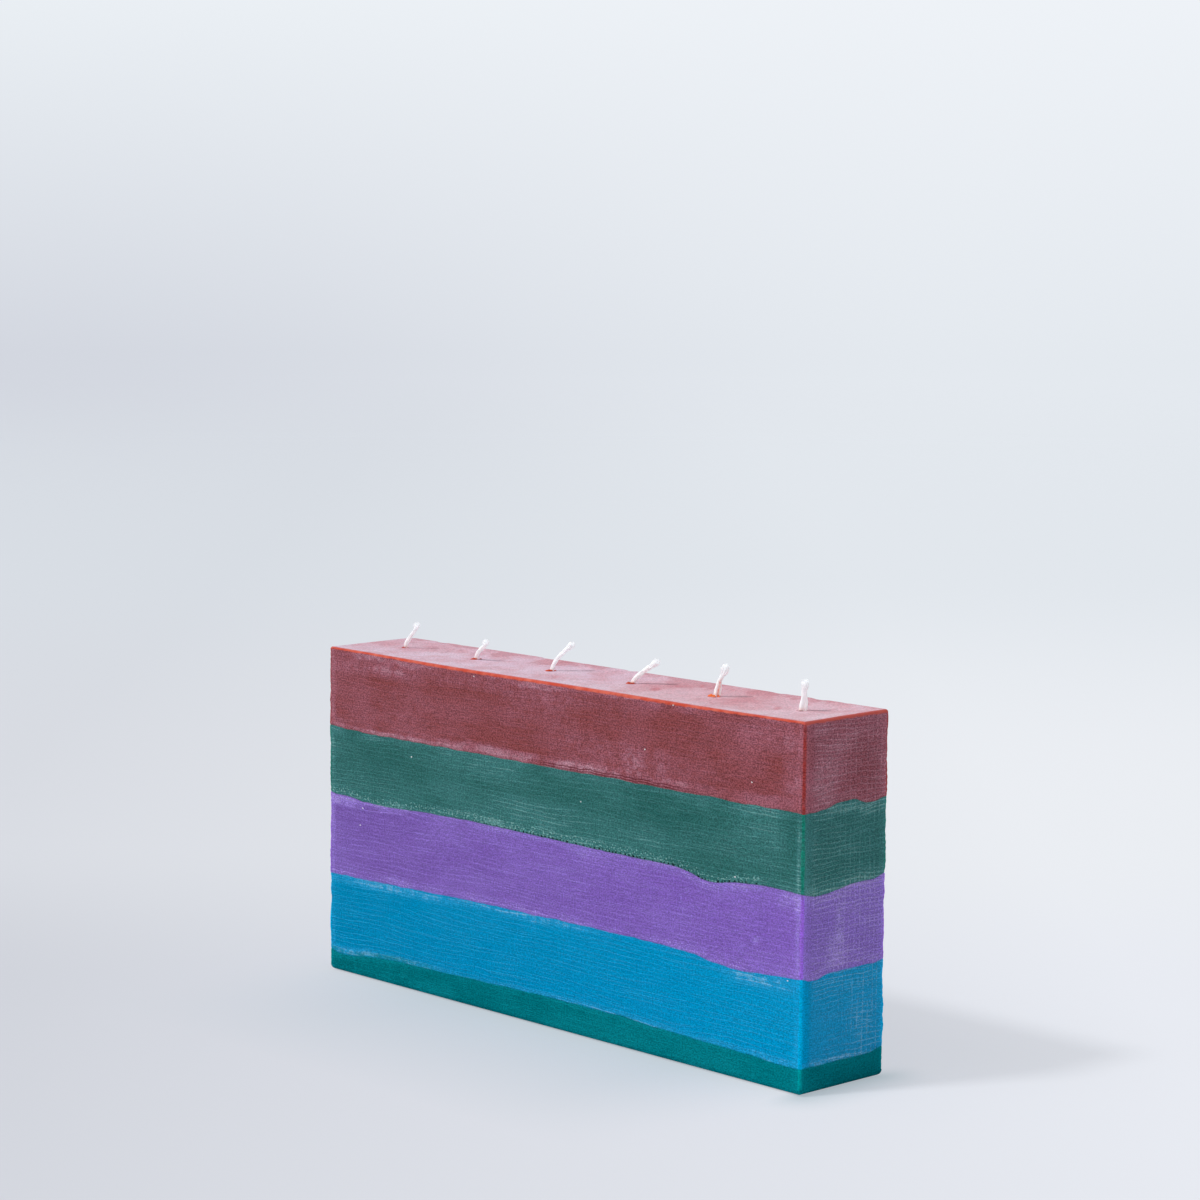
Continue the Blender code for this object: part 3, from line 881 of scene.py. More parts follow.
def stick_crumbs(layer, crumbs):
    """Join small flat crumbs to the front of a pour. A crumb is its place, half sizes and tilt."""
    for where, height, long, short, tilt in crumbs:
        bpy.ops.object.select_all(action="DESELECT")
        bpy.ops.mesh.primitive_ico_sphere_add(subdivisions=3, radius=1)
        crumb = bpy.context.object
        points = read_points(crumb)
        points *= 1 + 0.25 * soft_noise(points + where * 900, (0.7, 0.7, 0.7), 61)[:, None]
        points *= np.array((long, min(long, short) * 0.7, short)) * crumb_size
        turned = points @ np.array(Matrix.Rotation(math.radians(-tilt), 3, "Y"))
        write_points(crumb, turned + (where, crumb_sunk - block_width / 2, height))
        bpy.ops.object.shade_smooth()
        attribute = crumb.data.attributes.new("speck", "FLOAT", "POINT")
        attribute.data.foreach_set("value", np.ones(len(points), np.float32))
        crumb.select_set(True)
        layer.select_set(True)
        bpy.context.view_layer.objects.active = layer
        bpy.ops.object.join()


def stand_in(piece, material, node):
    """Give a piece its material and let it take the place of its CAD node."""
    piece.data.materials.clear()
    piece.data.materials.append(material)
    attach(piece, "root")
    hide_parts(node)


wick_bore = 0.00116
disc_space = 0.0078
disc_space_top = 0.0010
neck_space_foot = 0.00285
neck_space = 0.00215
neck_space_top = 0.0052
beyond = 0.004

base_layer = raise_block("base_green_wax_foot", underside[0], base_seam[0], rows=6, fine_foot=True)
cut_channels(base_layer, (
    (disc_space, -beyond),
    (disc_space, disc_space_top),
    (neck_space_foot, disc_space_top),
    (neck_space, neck_space_top),
    (wick_bore, neck_space_top),
    (wick_bore, base_seam[0] + beyond),
))
finish_wax(base_layer, underside, base_seam, seed=11, lines=0.35, foot_round=foot_radius, hazes=(
    ("front", 0.000, 0.0011, 0.0, 0.125, 0.0004, 0.35),
    ("end", 0.010, 0.0045, 0.0, 0.007, 0.0030, 0.15),
), stains=(
    ("front", -0.115, 0.0025, 0.0, 0.016, 0.0025, 0.60),
))
base_wax = mix_wax(
    "base_green_wax", deep=linear(0, 107, 115), deep_right=linear(0, 121, 130), half=linear(10, 136, 146),
    bloomed=linear(90, 168, 176), corner=linear(0, 152, 156), stain=linear(0, 96, 104),
    below=linear(0, 56, 62),
    frame_share=0.16, clouds=0.28, frame_width=1.4, corner_haze=0.0, lines=0.12, end_lines=0.24, end_haze=0.0,
    grain=0.60, gloss=0.0,
)
stand_in(base_layer, base_wax, "base_green_layer")


# The blue pour is the second, a bright cyan blue. Where it meets the cooler wax below it runs over
# into green with a grey haze at the left, and it is pale along its upper edge.
blue_seam = (0.0386, (
    (-0.50, -0.30, -0.0019, 0.060, 0.040),
    (0.13, -0.50, 0.0005, 0.060, 0.020),
    (0.375, -0.45, -0.0022, 0.0155, 0.016),
    (0.333, -0.50, -0.0004, 0.003, 0.010),
    (0.46, -0.50, -0.0006, 0.012, 0.012),
    (-0.03, -0.50, -0.0004, 0.004, 0.010),
    (0.50, -0.34, -0.0014, 0.006, 0.0045),
    (0.50, 0.50, 0.0006, 0.008, 0.004),
    (-0.12, 0.50, 0.0014, 0.024, 0.014),
))
plain_channel = 0.05
wall_rows = 20

blue_layer = raise_block("blue_wax_band", base_seam[0], blue_seam[0], rows=wall_rows)
cut_channels(blue_layer, ((wick_bore, -plain_channel), (wick_bore, blue_seam[0] + plain_channel)))
finish_wax(blue_layer, base_seam, blue_seam, seed=23, hazes=(
    ("front", 0.102, -0.0021, -0.04, 0.016, 0.0021, 0.54),
    ("front", -0.085, -0.0015, 0.0, 0.038, 0.0017, 0.52),
    ("front", -0.010, -0.0011, 0.0, 0.034, 0.0012, 0.46),
    ("front", -0.109, 0.0018, 0.0, 0.014, 0.0014, 0.48),
    ("front", -0.080, 0.0012, 0.0, 0.024, 0.0008, 0.45),
    ("front", 0.000, 0.0003, 0.0, 0.122, 0.0004, 0.25),
    ("front", 0.050, 0.0009, 0.0, 0.070, 0.0007, 0.16),
    ("front", 0.108, 0.0014, 0.0, 0.011, 0.0014, 0.34),
    ("end", 0.003, -0.0040, 0.0, 0.019, 0.0034, 0.14),
    ("end", 0.009, 0.0110, 0.0, 0.007, 0.0110, 0.20),
    ("end", -0.004, 0.0009, 0.0, 0.016, 0.0009, 0.34),
), stains=(
    ("front", -0.092, 0.0008, 0.0, 0.032, 0.0011, 0.75),
))
stick_crumbs(blue_layer, ((0.1140, 0.0370, 0.0005, 0.0003, 10),))
blue_wax = mix_wax(
    "blue_wax", deep=linear(0, 136, 182), deep_right=linear(0, 151, 201), half=linear(40, 156, 206),
    bloomed=linear(128, 190, 224), corner=linear(0, 172, 222), stain=linear(20, 126, 138),
    below=linear(0, 116, 130), frame_share=0.08, clouds=0.06, frame_width=2.0, corner_haze=0.22, lines=0.34,
    end_lines=0.38, end_haze=0.26, clear_corner=1.0, grain=0.58, gloss=0.0,
)
stand_in(blue_layer, blue_wax, "blue_layer")


# The purple pour is the third. Its wax is the densest of the five, with a cool violet bloom.
purple_seam = (0.0666, (
    (-0.50, -0.50, 0.0008, 0.003, 0.008),
    (-0.455, -0.50, 0.0006, 0.006, 0.012),
    (-0.423, -0.50, -0.0003, 0.003, 0.012),
    (-0.37, -0.40, -0.0008, 0.020, 0.015),
    (-0.14, -0.40, 0.0006, 0.034, 0.020),
    (0.325, -0.45, -0.0019, 0.009, 0.014),
    (0.36, -0.45, -0.0012, 0.017, 0.014),
    (0.50, -0.26, -0.0021, 0.010, 0.0095),
    (0.50, 0.50, 0.0014, 0.008, 0.0035),
    (0.18, 0.50, -0.0015, 0.022, 0.012),
    (-0.50, 0.20, -0.0012, 0.010, 0.009),
))

purple_layer = raise_block("purple_wax_band", blue_seam[0], purple_seam[0], rows=wall_rows)
cut_channels(purple_layer, ((wick_bore, -plain_channel), (wick_bore, purple_seam[0] + plain_channel)))
finish_wax(purple_layer, blue_seam, purple_seam, seed=37, hazes=(
    ("end", -0.0036, 0.0062, 0.0, 0.0048, 0.0058, 0.24),
    ("end", -0.0022, 0.0165, 0.0, 0.0023, 0.0075, 0.24),
    ("front", 0.085, -0.0016, 0.0, 0.030, 0.0012, 0.15),
    ("front", -0.113, -0.0020, 0.0, 0.008, 0.0022, 0.40),
    ("front", 0.100, 0.0110, 0.0, 0.0016, 0.0012, 0.50),
    ("front", 0.115, -0.0030, 0.0, 0.006, 0.0030, 0.35),
))
stick_crumbs(purple_layer, (
    (-0.1007, 0.0636, 0.0008, 0.0003, 35),
    (-0.1022, 0.0571, 0.0005, 0.0004, 0),
))
purple_wax = mix_wax(
    "purple_wax", deep=linear(124, 93, 174), deep_right=linear(133, 98, 190), half=linear(147, 120, 204),
    bloomed=linear(180, 160, 224), corner=linear(154, 103, 216), stain=linear(104, 74, 158),
    below=linear(60, 130, 196), frame_share=0.26, clouds=0.16, corner_haze=0.44, lines=0.38, end_lines=0.44,
    end_haze=0.30, grain=0.64, specks=0.35, gloss=0.03,
)
stand_in(purple_layer, purple_wax, "purple_layer")


# The dark green pour is the fourth. Its upper seam is nearly level on the front and rises in a low
# hump across the end face.
dark_green_seam = (0.0918, (
    (-0.50, -0.50, 0.0007, 0.006, 0.008),
    (0.14, -0.50, 0.0005, 0.006, 0.008),
    (0.32, -0.50, 0.0004, 0.007, 0.008),
    (0.50, -0.45, -0.0001, 0.006, 0.010),
    (0.50, -0.08, 0.0016, 0.016, 0.0045),
    (0.50, 0.09, 0.0016, 0.016, 0.0045),
    (0.50, 0.0, 0.0004, 0.016, 0.030),
    (0.50, 0.50, 0.0013, 0.008, 0.0045),
    (-0.50, 0.10, 0.0013, 0.012, 0.010),
    (-0.30, 0.50, -0.0010, 0.020, 0.012),
))

dark_green_layer = raise_block("dark_green_wax_band", purple_seam[0], dark_green_seam[0], rows=wall_rows)
cut_channels(dark_green_layer, ((wick_bore, -plain_channel), (wick_bore, dark_green_seam[0] + plain_channel)))
finish_wax(dark_green_layer, purple_seam, dark_green_seam, seed=53, hazes=(
    ("end", 0.006, -0.0020, 0.0, 0.015, 0.0022, 0.30),
    ("end", -0.0165, 0.0100, 0.0, 0.0030, 0.0180, 0.16),
    ("front", 0.005, 0.0065, 0.0, 0.056, 0.0060, 0.20),
    ("front", -0.036, 0.0190, 0.0, 0.026, 0.0040, 0.18),
    ("front", 0.100, 0.0200, 0.0, 0.016, 0.006, 0.18),
    ("front", 0.1040, 0.0175, 0.0, 0.0085, 0.0050, 0.10),
), stains=(
    ("front", 0.062, 0.0160, 0.0, 0.024, 0.0070, 0.35),
    ("front", -0.089, 0.0140, 0.0, 0.012, 0.0080, 0.35),
    ("front", 0.1150, 0.0170, 0.0, 0.0028, 0.0070, 0.35),
))
stick_crumbs(dark_green_layer, (
    (-0.0730, 0.0862, 0.0005, 0.0004, 0),
    (0.0165, 0.0820, 0.0005, 0.0003, 20),
    (0.0900, 0.0672, 0.0006, 0.0004, 0),
))
dark_green_wax = mix_wax(
    "dark_green_wax", deep=linear(47, 104, 100), deep_right=linear(44, 103, 98), half=linear(69, 127, 126),
    bloomed=linear(124, 172, 168), corner=linear(24, 126, 108), stain=linear(34, 92, 88),
    below=linear(96, 104, 142), frame_share=0.26, clouds=0.24, corner_haze=0.60, lines=0.38, end_lines=0.44,
    end_haze=0.20, grain=0.76, pits=1.0, specks=0.80, gloss=0.03,
)
stand_in(dark_green_layer, dark_green_wax, "dark_green_layer")


# The red pour is the last and closes the block. Its top has sunk a little as it set and is dusty
# pink, partly a painted sheen, its arris is a clear orange-red with a painted glow, and small lips
# and beads of wax sit at the wicks' feet, some with a painted glow.
block_top = (block_height, (
    (-0.17, -0.50, -0.0006, 0.058, 0.018),
    (0.30, -0.50, -0.0006, 0.058, 0.018),
))
# Fewer rows than the other walls have, to keep this layer and its fine top under the triangle limit
red_rows = 17
top_arris = 0.00105
hollow_depth = 0.00050
hollow_tilt = 0.0022
hollow_from = 0.0009
hollow_to = 0.0115
wick_bore_top = 0.00095
bore_narrows = 0.005

# A dent is its place, its half width across and along its heading, that heading, and its depth
dents = (
    (0.0340, -0.0020, 0.0020, 0.0045, -50, 0.00024),
    (0.0910, -0.0020, 0.0016, 0.0040, -55, 0.00022),
    (0.0680, -0.0095, 0.0009, 0.0060, -40, 0.00014),
    (-0.0090, -0.0090, 0.0014, 0.0060, -60, 0.00012),
    (0.0415, 0.0130, 0.0012, 0.0050, -50, 0.00016),
    (0.0930, 0.0110, 0.0010, 0.0030, -45, 0.00014),
)

# A bare spot is its place, its reach along and across, and the share of the pale dust and sheen that is gone
bare_spots = (
    (-0.112, 0.002, 0.014, 0.016, 0.30),
    (-0.090, 0.009, 0.012, 0.006, 0.34),
    (-0.050, 0.017, 0.030, 0.005, 0.20),
    (0.032, -0.001, 0.007, 0.008, 0.40),
    (0.060, 0.010, 0.030, 0.009, 0.26),
    (0.071, 0.001, 0.008, 0.008, 0.36),
    (0.062, -0.008, 0.026, 0.009, 0.26),
    (-0.012, -0.006, 0.008, 0.004, 0.22),
)
plain_lip = (
    (-0.0002, -0.0008, 0.00140, 0.00065, 0.34),
    (-0.0008, -0.0013, 0.00095, 0.00048, 0.46),
)
small_bead = (0.0008, 0.0009, 0.00060, 0.00035, 0.15)

# The wax at each wick's foot: blobs by their place from the wick, reach, rise and brightness; the brightest
# are a painted glow of light through the thin wax
lips = (
    ((-0.0002, -0.0007, 0.0010, 0.00045, 0.30), (0.0004, 0.0002, 0.0009, 0.00015, 0.35)),
    (*plain_lip, small_bead),
    (*plain_lip, (-0.0004, -0.0012, 0.0010, 0.00035, 0.50), (0.0007, 0.0006, 0.0008, 0.00040, 0.30)),
    ((0.0003, -0.0003, 0.00140, 0.00065, 0.34), (-0.0003, -0.0008, 0.00095, 0.00055, 0.46),
     (-0.0007, -0.0003, 0.00090, 0.00060, 0.45), small_bead),
    ((-0.0004, -0.0009, 0.00100, 0.00105, 1.0), (-0.0011, -0.0012, 0.00075, 0.00070, 0.9),
     (0.0007, -0.0010, 0.00085, 0.00085, 1.0), (0.0015, 0.0006, 0.00080, 0.00065, 0.9)),
    ((0.0003, -0.0008, 0.00085, 0.00025, 0.0), (-0.0010, -0.0012, 0.00060, 0.00010, 0.2)),
)


def raise_lips(x, y):
    """How far the wax is drawn up at the wicks' feet, and how bright it is there."""
    rise = np.zeros(len(x))
    tone = np.zeros(len(x))
    spot = np.column_stack((x, y, np.zeros(len(x))))
    for wick_x, blobs in zip(wick_places, lips):
        for blob_x, blob_y, reach, height, brightness in blobs:
            off = np.hypot(x - wick_x - blob_x, y - blob_y) / reach
            off *= 1 + 0.2 * soft_noise(spot, (0.0009, 0.0009, 1.0), 80)
            blob = height * np.clip(1 - off * off, 0, 1) ** 0.7
            tone = np.where(blob > rise, brightness, tone)
            rise = np.maximum(rise, blob)
    return rise, tone


def top_bare_patches(x, y):
    """How bare of the pale dust and sheen each place of the top is."""
    bare = np.zeros(len(x))
    for spot_x, spot_y, reach_x, reach_y, share in bare_spots:
        bare += share * np.exp(-((x - spot_x) / reach_x) ** 2 - ((y - spot_y) / reach_y) ** 2)
    return np.clip(bare, 0, 1)


def press_dents(x, y):
    """How deep each place of the top lies in a dent."""
    depth = np.zeros(len(x))
    for dent_x, dent_y, narrow, long, heading, deepest in dents:
        turn = math.radians(heading)
        run = (x - dent_x) * math.cos(turn) + (y - dent_y) * math.sin(turn)
        side = (y - dent_y) * math.cos(turn) - (x - dent_x) * math.sin(turn)
        depth += deepest * np.exp(-(run / long) ** 2 - (side / narrow) ** 2)
    return depth


def shape_top(x, y, z, distance):
    """Give the top its hollow, its slight unevenness, its dents and the lips round the wicks."""
    spot = np.column_stack((x, y, np.zeros(len(x))))
    z = z - (hollow_depth + hollow_tilt * x) * smooth_step(distance, hollow_from, hollow_to)
    z = z - 0.00008 - 0.00008 * soft_noise(spot, (0.022, 0.012, 1.0), 71) * smooth_step(distance, 0, 0.003)
    back_chips = smooth_step(y, block_width / 2 - 0.0022, block_width / 2 - 0.0006)
    z = z - 0.00028 * back_chips * smooth_step(soft_noise(spot, (0.006, 1.0, 1.0), 72), 0.1, 0.7)
    return z - press_dents(x, y) + raise_lips(x, y)[0]


lips_reach = 0.0032


def near_a_wick(face):
    """True for the faces of the top that the lips round the wicks need finer."""
    middle = face.calc_center_median()
    off = min(math.hypot(middle.x - wick_x, middle.y) for wick_x in wick_places)
    return face.normal.z > 0.5 and off < lips_reach


red_layer = raise_block("top_red_wax_band", dark_green_seam[0], block_top[0], rows=red_rows, fine_top=True)
cut_finer(red_layer, 3, "faces", near_a_wick)
cut_channels(red_layer, (
    (wick_bore, -plain_channel),
    (wick_bore, block_top[0] - bore_narrows),
    (wick_bore_top, block_top[0] - bore_narrows / 2),
    (wick_bore_top, block_top[0] + plain_channel),
))
finish_wax(red_layer, dark_green_seam, block_top, seed=67, top_arris=top_arris, top_shape=shape_top, hazes=(
    ("end", -0.010, 0.0120, 0.0, 0.006, 0.010, 0.20),
    ("end", 0.001, 0.0192, 0.0, 0.005, 0.0035, 0.12),
    ("front", 0.0420, 0.0080, 0.0, 0.0055, 0.0052, 0.38),
    ("front", 0.0552, 0.0080, 0.0, 0.0040, 0.0046, 0.28),
    ("front", 0.0500, 0.0070, 0.0, 0.0340, 0.0050, 0.22),
    ("front", 0.0150, 0.0085, 0.0, 0.0160, 0.0070, 0.22),
    ("front", -0.0820, 0.0105, 0.0, 0.0240, 0.0080, 0.20),
    ("front", -0.035, -0.0040, 0.0, 0.080, 0.0030, 0.28),
    ("front", -0.100, -0.0065, 0.0, 0.030, 0.0025, 0.25),
    ("front", -0.005, -0.0100, 0.0, 0.022, 0.0050, 0.22),
    ("front", 0.104, -0.0060, 0.0, 0.014, 0.0060, 0.20),
    ("front", 0.000, 0.0020, 0.0, 0.060, 0.0018, 0.38),
    ("front", -0.086, 0.0008, 0.0, 0.034, 0.0008, 0.42),
    ("front", 0.115, 0.0120, 0.0, 0.004, 0.0140, 0.30),
), stains=(
    ("front", 0.080, 0.0055, 0.0, 0.026, 0.0050, 0.16),
    ("end", 0.009, 0.0120, 0.0, 0.008, 0.0100, 0.35),
))
stick_crumbs(red_layer, (
    (0.0475, 0.1039, 0.0005, 0.0004, 0),
    (0.0970, 0.0993, 0.0005, 0.0003, 30),
    (0.0607, 0.1203, 0.0006, 0.0003, 0),
    (-0.0390, 0.1192, 0.0005, 0.0003, 15),
))
red_points = read_points(red_layer)
lip_rise, lip_tone = raise_lips(red_points[:, 0], red_points[:, 1])
is_high = red_points[:, 2] > block_top[0] - 0.002
top_notes = {
    "lip": smooth_step(lip_rise, 0.00001, 0.00012) * is_high,
    "lip_tone": lip_tone,
    "bare": top_bare_patches(red_points[:, 0], red_points[:, 1]),
    "dent": smooth_step(press_dents(red_points[:, 0], red_points[:, 1]), 0.00004, 0.00018) * is_high,
}
for name, values in top_notes.items():
    attribute = red_layer.data.attributes.new(name, "FLOAT", "POINT")
    attribute.data.foreach_set("value", values.astype(np.float32))

red_wax = mix_wax(
    "top_red_wax", deep=linear(138, 70, 71), deep_right=linear(138, 70, 71), half=linear(159, 96, 109),
    bloomed=linear(188, 140, 154), corner=linear(154, 58, 55), stain=linear(120, 56, 58),
    below=linear(96, 92, 96), frame_share=0.32, clouds=0.26, frame_width=3.4, corner_haze=0.64, lines=0.14,
    end_lines=0.32, end_haze=0.30, grain=0.90, gloss=0.03,
)
tree = red_wax.node_tree
shader = tree.nodes["Principled BSDF"]
colour = shader.inputs["Base Color"].links[0].from_socket
place = add_node(tree, "ShaderNodeTexCoord").outputs["Object"]
parts = add_node(tree, "ShaderNodeSeparateXYZ", {0: place}).outputs

# Two dark lines run above the seam below, where the pour stopped for a moment
seam_run = add_product(
    tree,
    add_range(tree, parts["X"], -0.012, 0.004),
    add_range(tree, parts["X"], 0.078, 0.060),
)
low_wander = add_range(tree, add_noise(tree, place, 130), 0.3, 0.7, -0.25, 0.25)
from_low = add_maths(tree, "ADD", read_note(tree, "from_low"), low_wander)
for line_height in (0.60, 1.45):
    line_off = add_maths(tree, "ABSOLUTE", add_maths(tree, "SUBTRACT", from_low, line_height))
    line_breaks = add_range(tree, add_noise(tree, place, 300, 2.0), 0.36, 0.5, 0.35, 0.85)
    line_mask = add_product(tree, add_range(tree, line_off, 0.34, 0.08), seam_run, line_breaks)
    colour = add_colour_mix(tree, line_mask, colour, linear(98, 40, 46))

# The top's pale colour is dust and a painted sheen. It thins out towards the back, in patches, some
# round the wicks, and in the dents, and it lies in soft streaks
top_share = read_note(tree, "on_top")
top_wander = add_maths(tree, "MULTIPLY", add_noise(tree, place, 70, 3.0), 0.05)
top_depth_spot = add_maths(tree, "ADD", parts["Y"], add_maths(tree, "SUBTRACT", top_wander, 0.025))
# Painted sheen: part of the top's pale colour stands in for the sheen of the pale room on it
front_dust_and_sheen = linear(223, 192, 205)
back_dust_and_sheen = linear(221, 182, 196)
dust_and_sheen = add_colour_mix(tree, add_range(tree, top_depth_spot, -0.016, 0.016), front_dust_and_sheen, back_dust_and_sheen)
as_it_is = (1, 1, 1, 1)
cool_cast = (0.99, 1.045, 1.10, 1)
cooler = add_colour_mix(tree, add_range(tree, parts["X"], 0.050, -0.010), as_it_is, cool_cast)
dust_and_sheen = add_node(tree, "ShaderNodeVectorMath", {0: dust_and_sheen, 1: cooler}, operation="MULTIPLY").outputs[0]
bare_back = add_range(tree, top_depth_spot, 0.013, 0.019, 0.0, 0.6)
dust_and_sheen = add_colour_mix(tree, bare_back, dust_and_sheen, linear(192, 128, 138))
streaks = add_range(tree, add_noise(tree, place, 120, 5.0, 0.6), 0.34, 0.60, 0.62, 1.0)
dust_and_sheen_share = add_product(
    tree, streaks,
    add_range(tree, read_note(tree, "bare"), 0.0, 1.0, 1.0, 0.0, smooth=False),
    add_range(tree, read_note(tree, "dent"), 0.0, 1.0, 1.0, 0.45),
)
dust_and_sheen = add_colour_mix(tree, dust_and_sheen_share, linear(196, 112, 120), dust_and_sheen)
dust_grain = add_range(tree, add_noise(tree, place, 1500, 2.0, 0.6), 0.34, 0.66, 0.84, 1.16)
dust_and_sheen = add_node(tree, "ShaderNodeVectorMath", {0: dust_and_sheen, "Scale": dust_grain}, operation="SCALE").outputs[0]
colour = add_colour_mix(tree, top_share, colour, dust_and_sheen)

# The arris is worn clear of bloom and brightened to orange as a painted glow of light through the thin edge,
# more so along the front than across the ends
ridge_edge = add_range(tree, add_noise(tree, place, 300, 2.0), 0.3, 0.7, -0.15, 0.15)
ridge_height = add_maths(tree, "ADD", read_note(tree, "from_high"), ridge_edge)
from_middle = add_maths(tree, "ABSOLUTE", parts["X"])
at_end = add_range(tree, from_middle, 0.1185, 0.1195)
ridge_thins = add_maths(tree, "MULTIPLY", add_range(tree, from_middle, 0.050, 0.100), 0.34)
ridge_thins = add_maths(tree, "MULTIPLY", ridge_thins, add_maths(tree, "SUBTRACT", 1.0, at_end))
ridge_height = add_maths(tree, "ADD", ridge_height, ridge_thins)
ridge_low = add_range(tree, ridge_height, 1.38, 0.92)
ridge_share = add_maths(tree, "MULTIPLY", ridge_low, add_maths(tree, "SUBTRACT", 1.0, top_share))
ridge_tone = add_range(tree, add_noise(tree, place, 240, 3.0, 0.6), 0.35, 0.68)
ridge_colour = add_colour_mix(tree, ridge_tone, linear(206, 82, 64), linear(222, 112, 94))
ridge_colour = add_colour_mix(tree, at_end, ridge_colour, linear(210, 98, 88))
ridge_share = add_maths(tree, "MULTIPLY", ridge_share, add_range(tree, at_end, 0.0, 1.0, 1.0, 0.90))
colour = add_colour_mix(tree, ridge_share, colour, ridge_colour)
colour = add_colour_mix(tree, read_note(tree, "speck"), colour, crumb_colour)

# The lips are clear wax, from dark red to bright orange, the bright orange partly a painted glow of light
# through the thin wax
lip_tone_read = read_note(tree, "lip_tone")
lip_colour = add_colour_mix(
    tree, add_range(tree, lip_tone_read, 0.0, 0.5, smooth=False), linear(120, 22, 20), linear(206, 80, 48),
)
to_bright = add_range(tree, lip_tone_read, 0.5, 1.0, smooth=False)
lip_colour = add_colour_mix(tree, to_bright, lip_colour, linear(246, 124, 66))
colour = add_colour_mix(tree, read_note(tree, "lip"), colour, lip_colour)
tree.links.new(colour, shader.inputs["Base Color"])
stand_in(red_layer, red_wax, "top_red_layer")


# The wicks are braids of eight strands of bleached cotton. Each stands upright in the wax, leans over
# above it, and ends in a cut tip whose threads have come loose. Their cotton is bright and soft, some
# light comes through it, and it has a faint painted glow to keep it white.
# A wick's course is points in millimetres from where it leaves the wax: along, across, up, and how
# thick it is there. Its tufts are loose threads: place, reach and number of threads.
wick_courses = (
    ((-0.1, -0.1, -0.3, 1.0), (0.4, -0.2, 1.4, 1.5), (1.4, -0.1, 2.8, 1.7), (2.5, 0.1, 4.3, 1.45),
     (3.6, 0.3, 5.6, 1.35), (4.6, 0.4, 6.7, 1.35), (5.3, 0.4, 7.6, 1.6), (5.7, 0.3, 8.2, 1.4)),
    ((-0.3, -0.3, -0.4, 1.3), (0.3, -0.6, 0.9, 1.35), (1.3, -0.9, 2.1, 1.5), (2.6, -1.1, 3.3, 1.6),
     (3.9, -1.0, 4.3, 1.6), (5.3, -1.0, 5.3, 1.5), (6.0, -1.3, 6.0, 1.2)),
    ((-0.2, -0.2, -0.4, 1.3), (0.1, 0.0, 1.0, 1.4), (0.5, 0.2, 2.2, 1.4), (1.4, 0.7, 3.8, 1.5),
     (2.5, 1.3, 5.3, 1.5), (3.7, 2.1, 6.8, 1.5), (4.9, 2.8, 8.0, 1.7), (5.7, 3.3, 8.9, 2.3),
     (6.2, 3.6, 9.5, 2.5)),
    ((0.2, 0.3, -0.4, 1.4), (0.6, 0.5, 0.7, 1.55), (1.6, 1.0, 2.0, 1.7), (3.0, 1.5, 3.3, 1.8),
     (4.4, 2.0, 4.4, 1.8), (5.9, 2.5, 5.6, 1.85), (7.3, 3.1, 6.6, 2.1), (8.3, 3.5, 7.4, 2.4),
     (8.8, 3.7, 7.8, 2.0)),
    ((0.6, 0.6, -0.6, 2.35), (0.9, 0.6, 1.4, 2.35), (1.3, 0.6, 2.8, 2.15), (1.7, 0.5, 4.2, 1.85),
     (2.1, 0.5, 5.5, 1.6), (2.7, 0.6, 6.6, 1.5), (3.1, 0.7, 7.4, 1.7), (3.7, 0.9, 8.5, 2.7),
     (4.1, 0.8, 9.6, 3.0), (4.3, 0.6, 10.3, 2.3), (4.4, 0.5, 10.7, 1.1)),
    ((0.2, 0.2, -0.6, 2.35), (0.5, 0.1, 1.3, 2.3), (0.9, 0.0, 2.8, 2.15), (1.3, -0.4, 4.4, 1.95),
     (1.5, -0.7, 5.7, 1.85), (1.8, -0.9, 6.9, 1.9), (2.2, -1.1, 8.1, 2.4), (2.4, -1.4, 9.1, 2.2),
     (2.5, -1.5, 9.6, 1.2)),
)
wick_tufts = (
    (((6.1, 0.1, 8.8), 1.35, 330),),
    (((6.2, -1.4, 6.6), 1.40, 360),),
    (((6.2, 3.6, 9.4), 1.35, 260),),
    (((8.6, 3.6, 7.8), 1.45, 340),),
    (((4.2, 0.8, 9.9), 1.60, 320),),
    (((2.4, -1.4, 9.4), 1.40, 340),),
)
wick_twists = (0.011, 0.011, 0.012, 0.014, 0.060, 0.080)
wick_gaps = (0.0, 0.0, 0.0, 0.0, 0.00015, 0.00028)
gap_closes = (0.0020, 0.0055)
wax_soaked = (0.20, 0.28, 0.10, 0.22, 0.85, 0.12)
millimetre = 0.001

wick_foot = 0.0003
buried_radius = 0.00106
below_wax = 0.0035
ring_share = 0.58
strand_share = 0.43
core_share = 0.52
strand_count = 4
strand_step = 0.00022
fibre_radius = 0.00005
aside = Vector((0.69, 0.724, 0.0))


def smooth_course(course, share):
    """Place and thickness at a share of a course, on a curve through its points (Catmull-Rom)."""
    run = min(share, 0.99999) * (len(course) - 1)
    index = int(run)
    part = run - index
    before = course[max(index - 1, 0)]
    start, end = course[index], course[index + 1]
    after = course[min(index + 2, len(course) - 1)]
    return 0.5 * (
        2 * start + (end - before) * part
        + (2 * before - 5 * start + 4 * end - after) * part ** 2
        + (3 * start - before - 3 * end + after) * part ** 3
    )


def add_strand(name, path):
    """A closed tube along a path of points, each with its own radius."""
    curve = bpy.data.curves.new(name, "CURVE")
    curve.dimensions = "3D"
    curve.bevel_depth = 1.0
    curve.bevel_resolution = 1
    curve.use_fill_caps = True
    spline = curve.splines.new("POLY")
    spline.points.add(len(path) - 1)
    for point, (place, radius) in zip(spline.points, path):
        point.co = (*place, 1)
        point.radius = radius
    strand = bpy.data.objects.new(name, curve)
    bpy.context.scene.collection.objects.link(strand)
    return strand


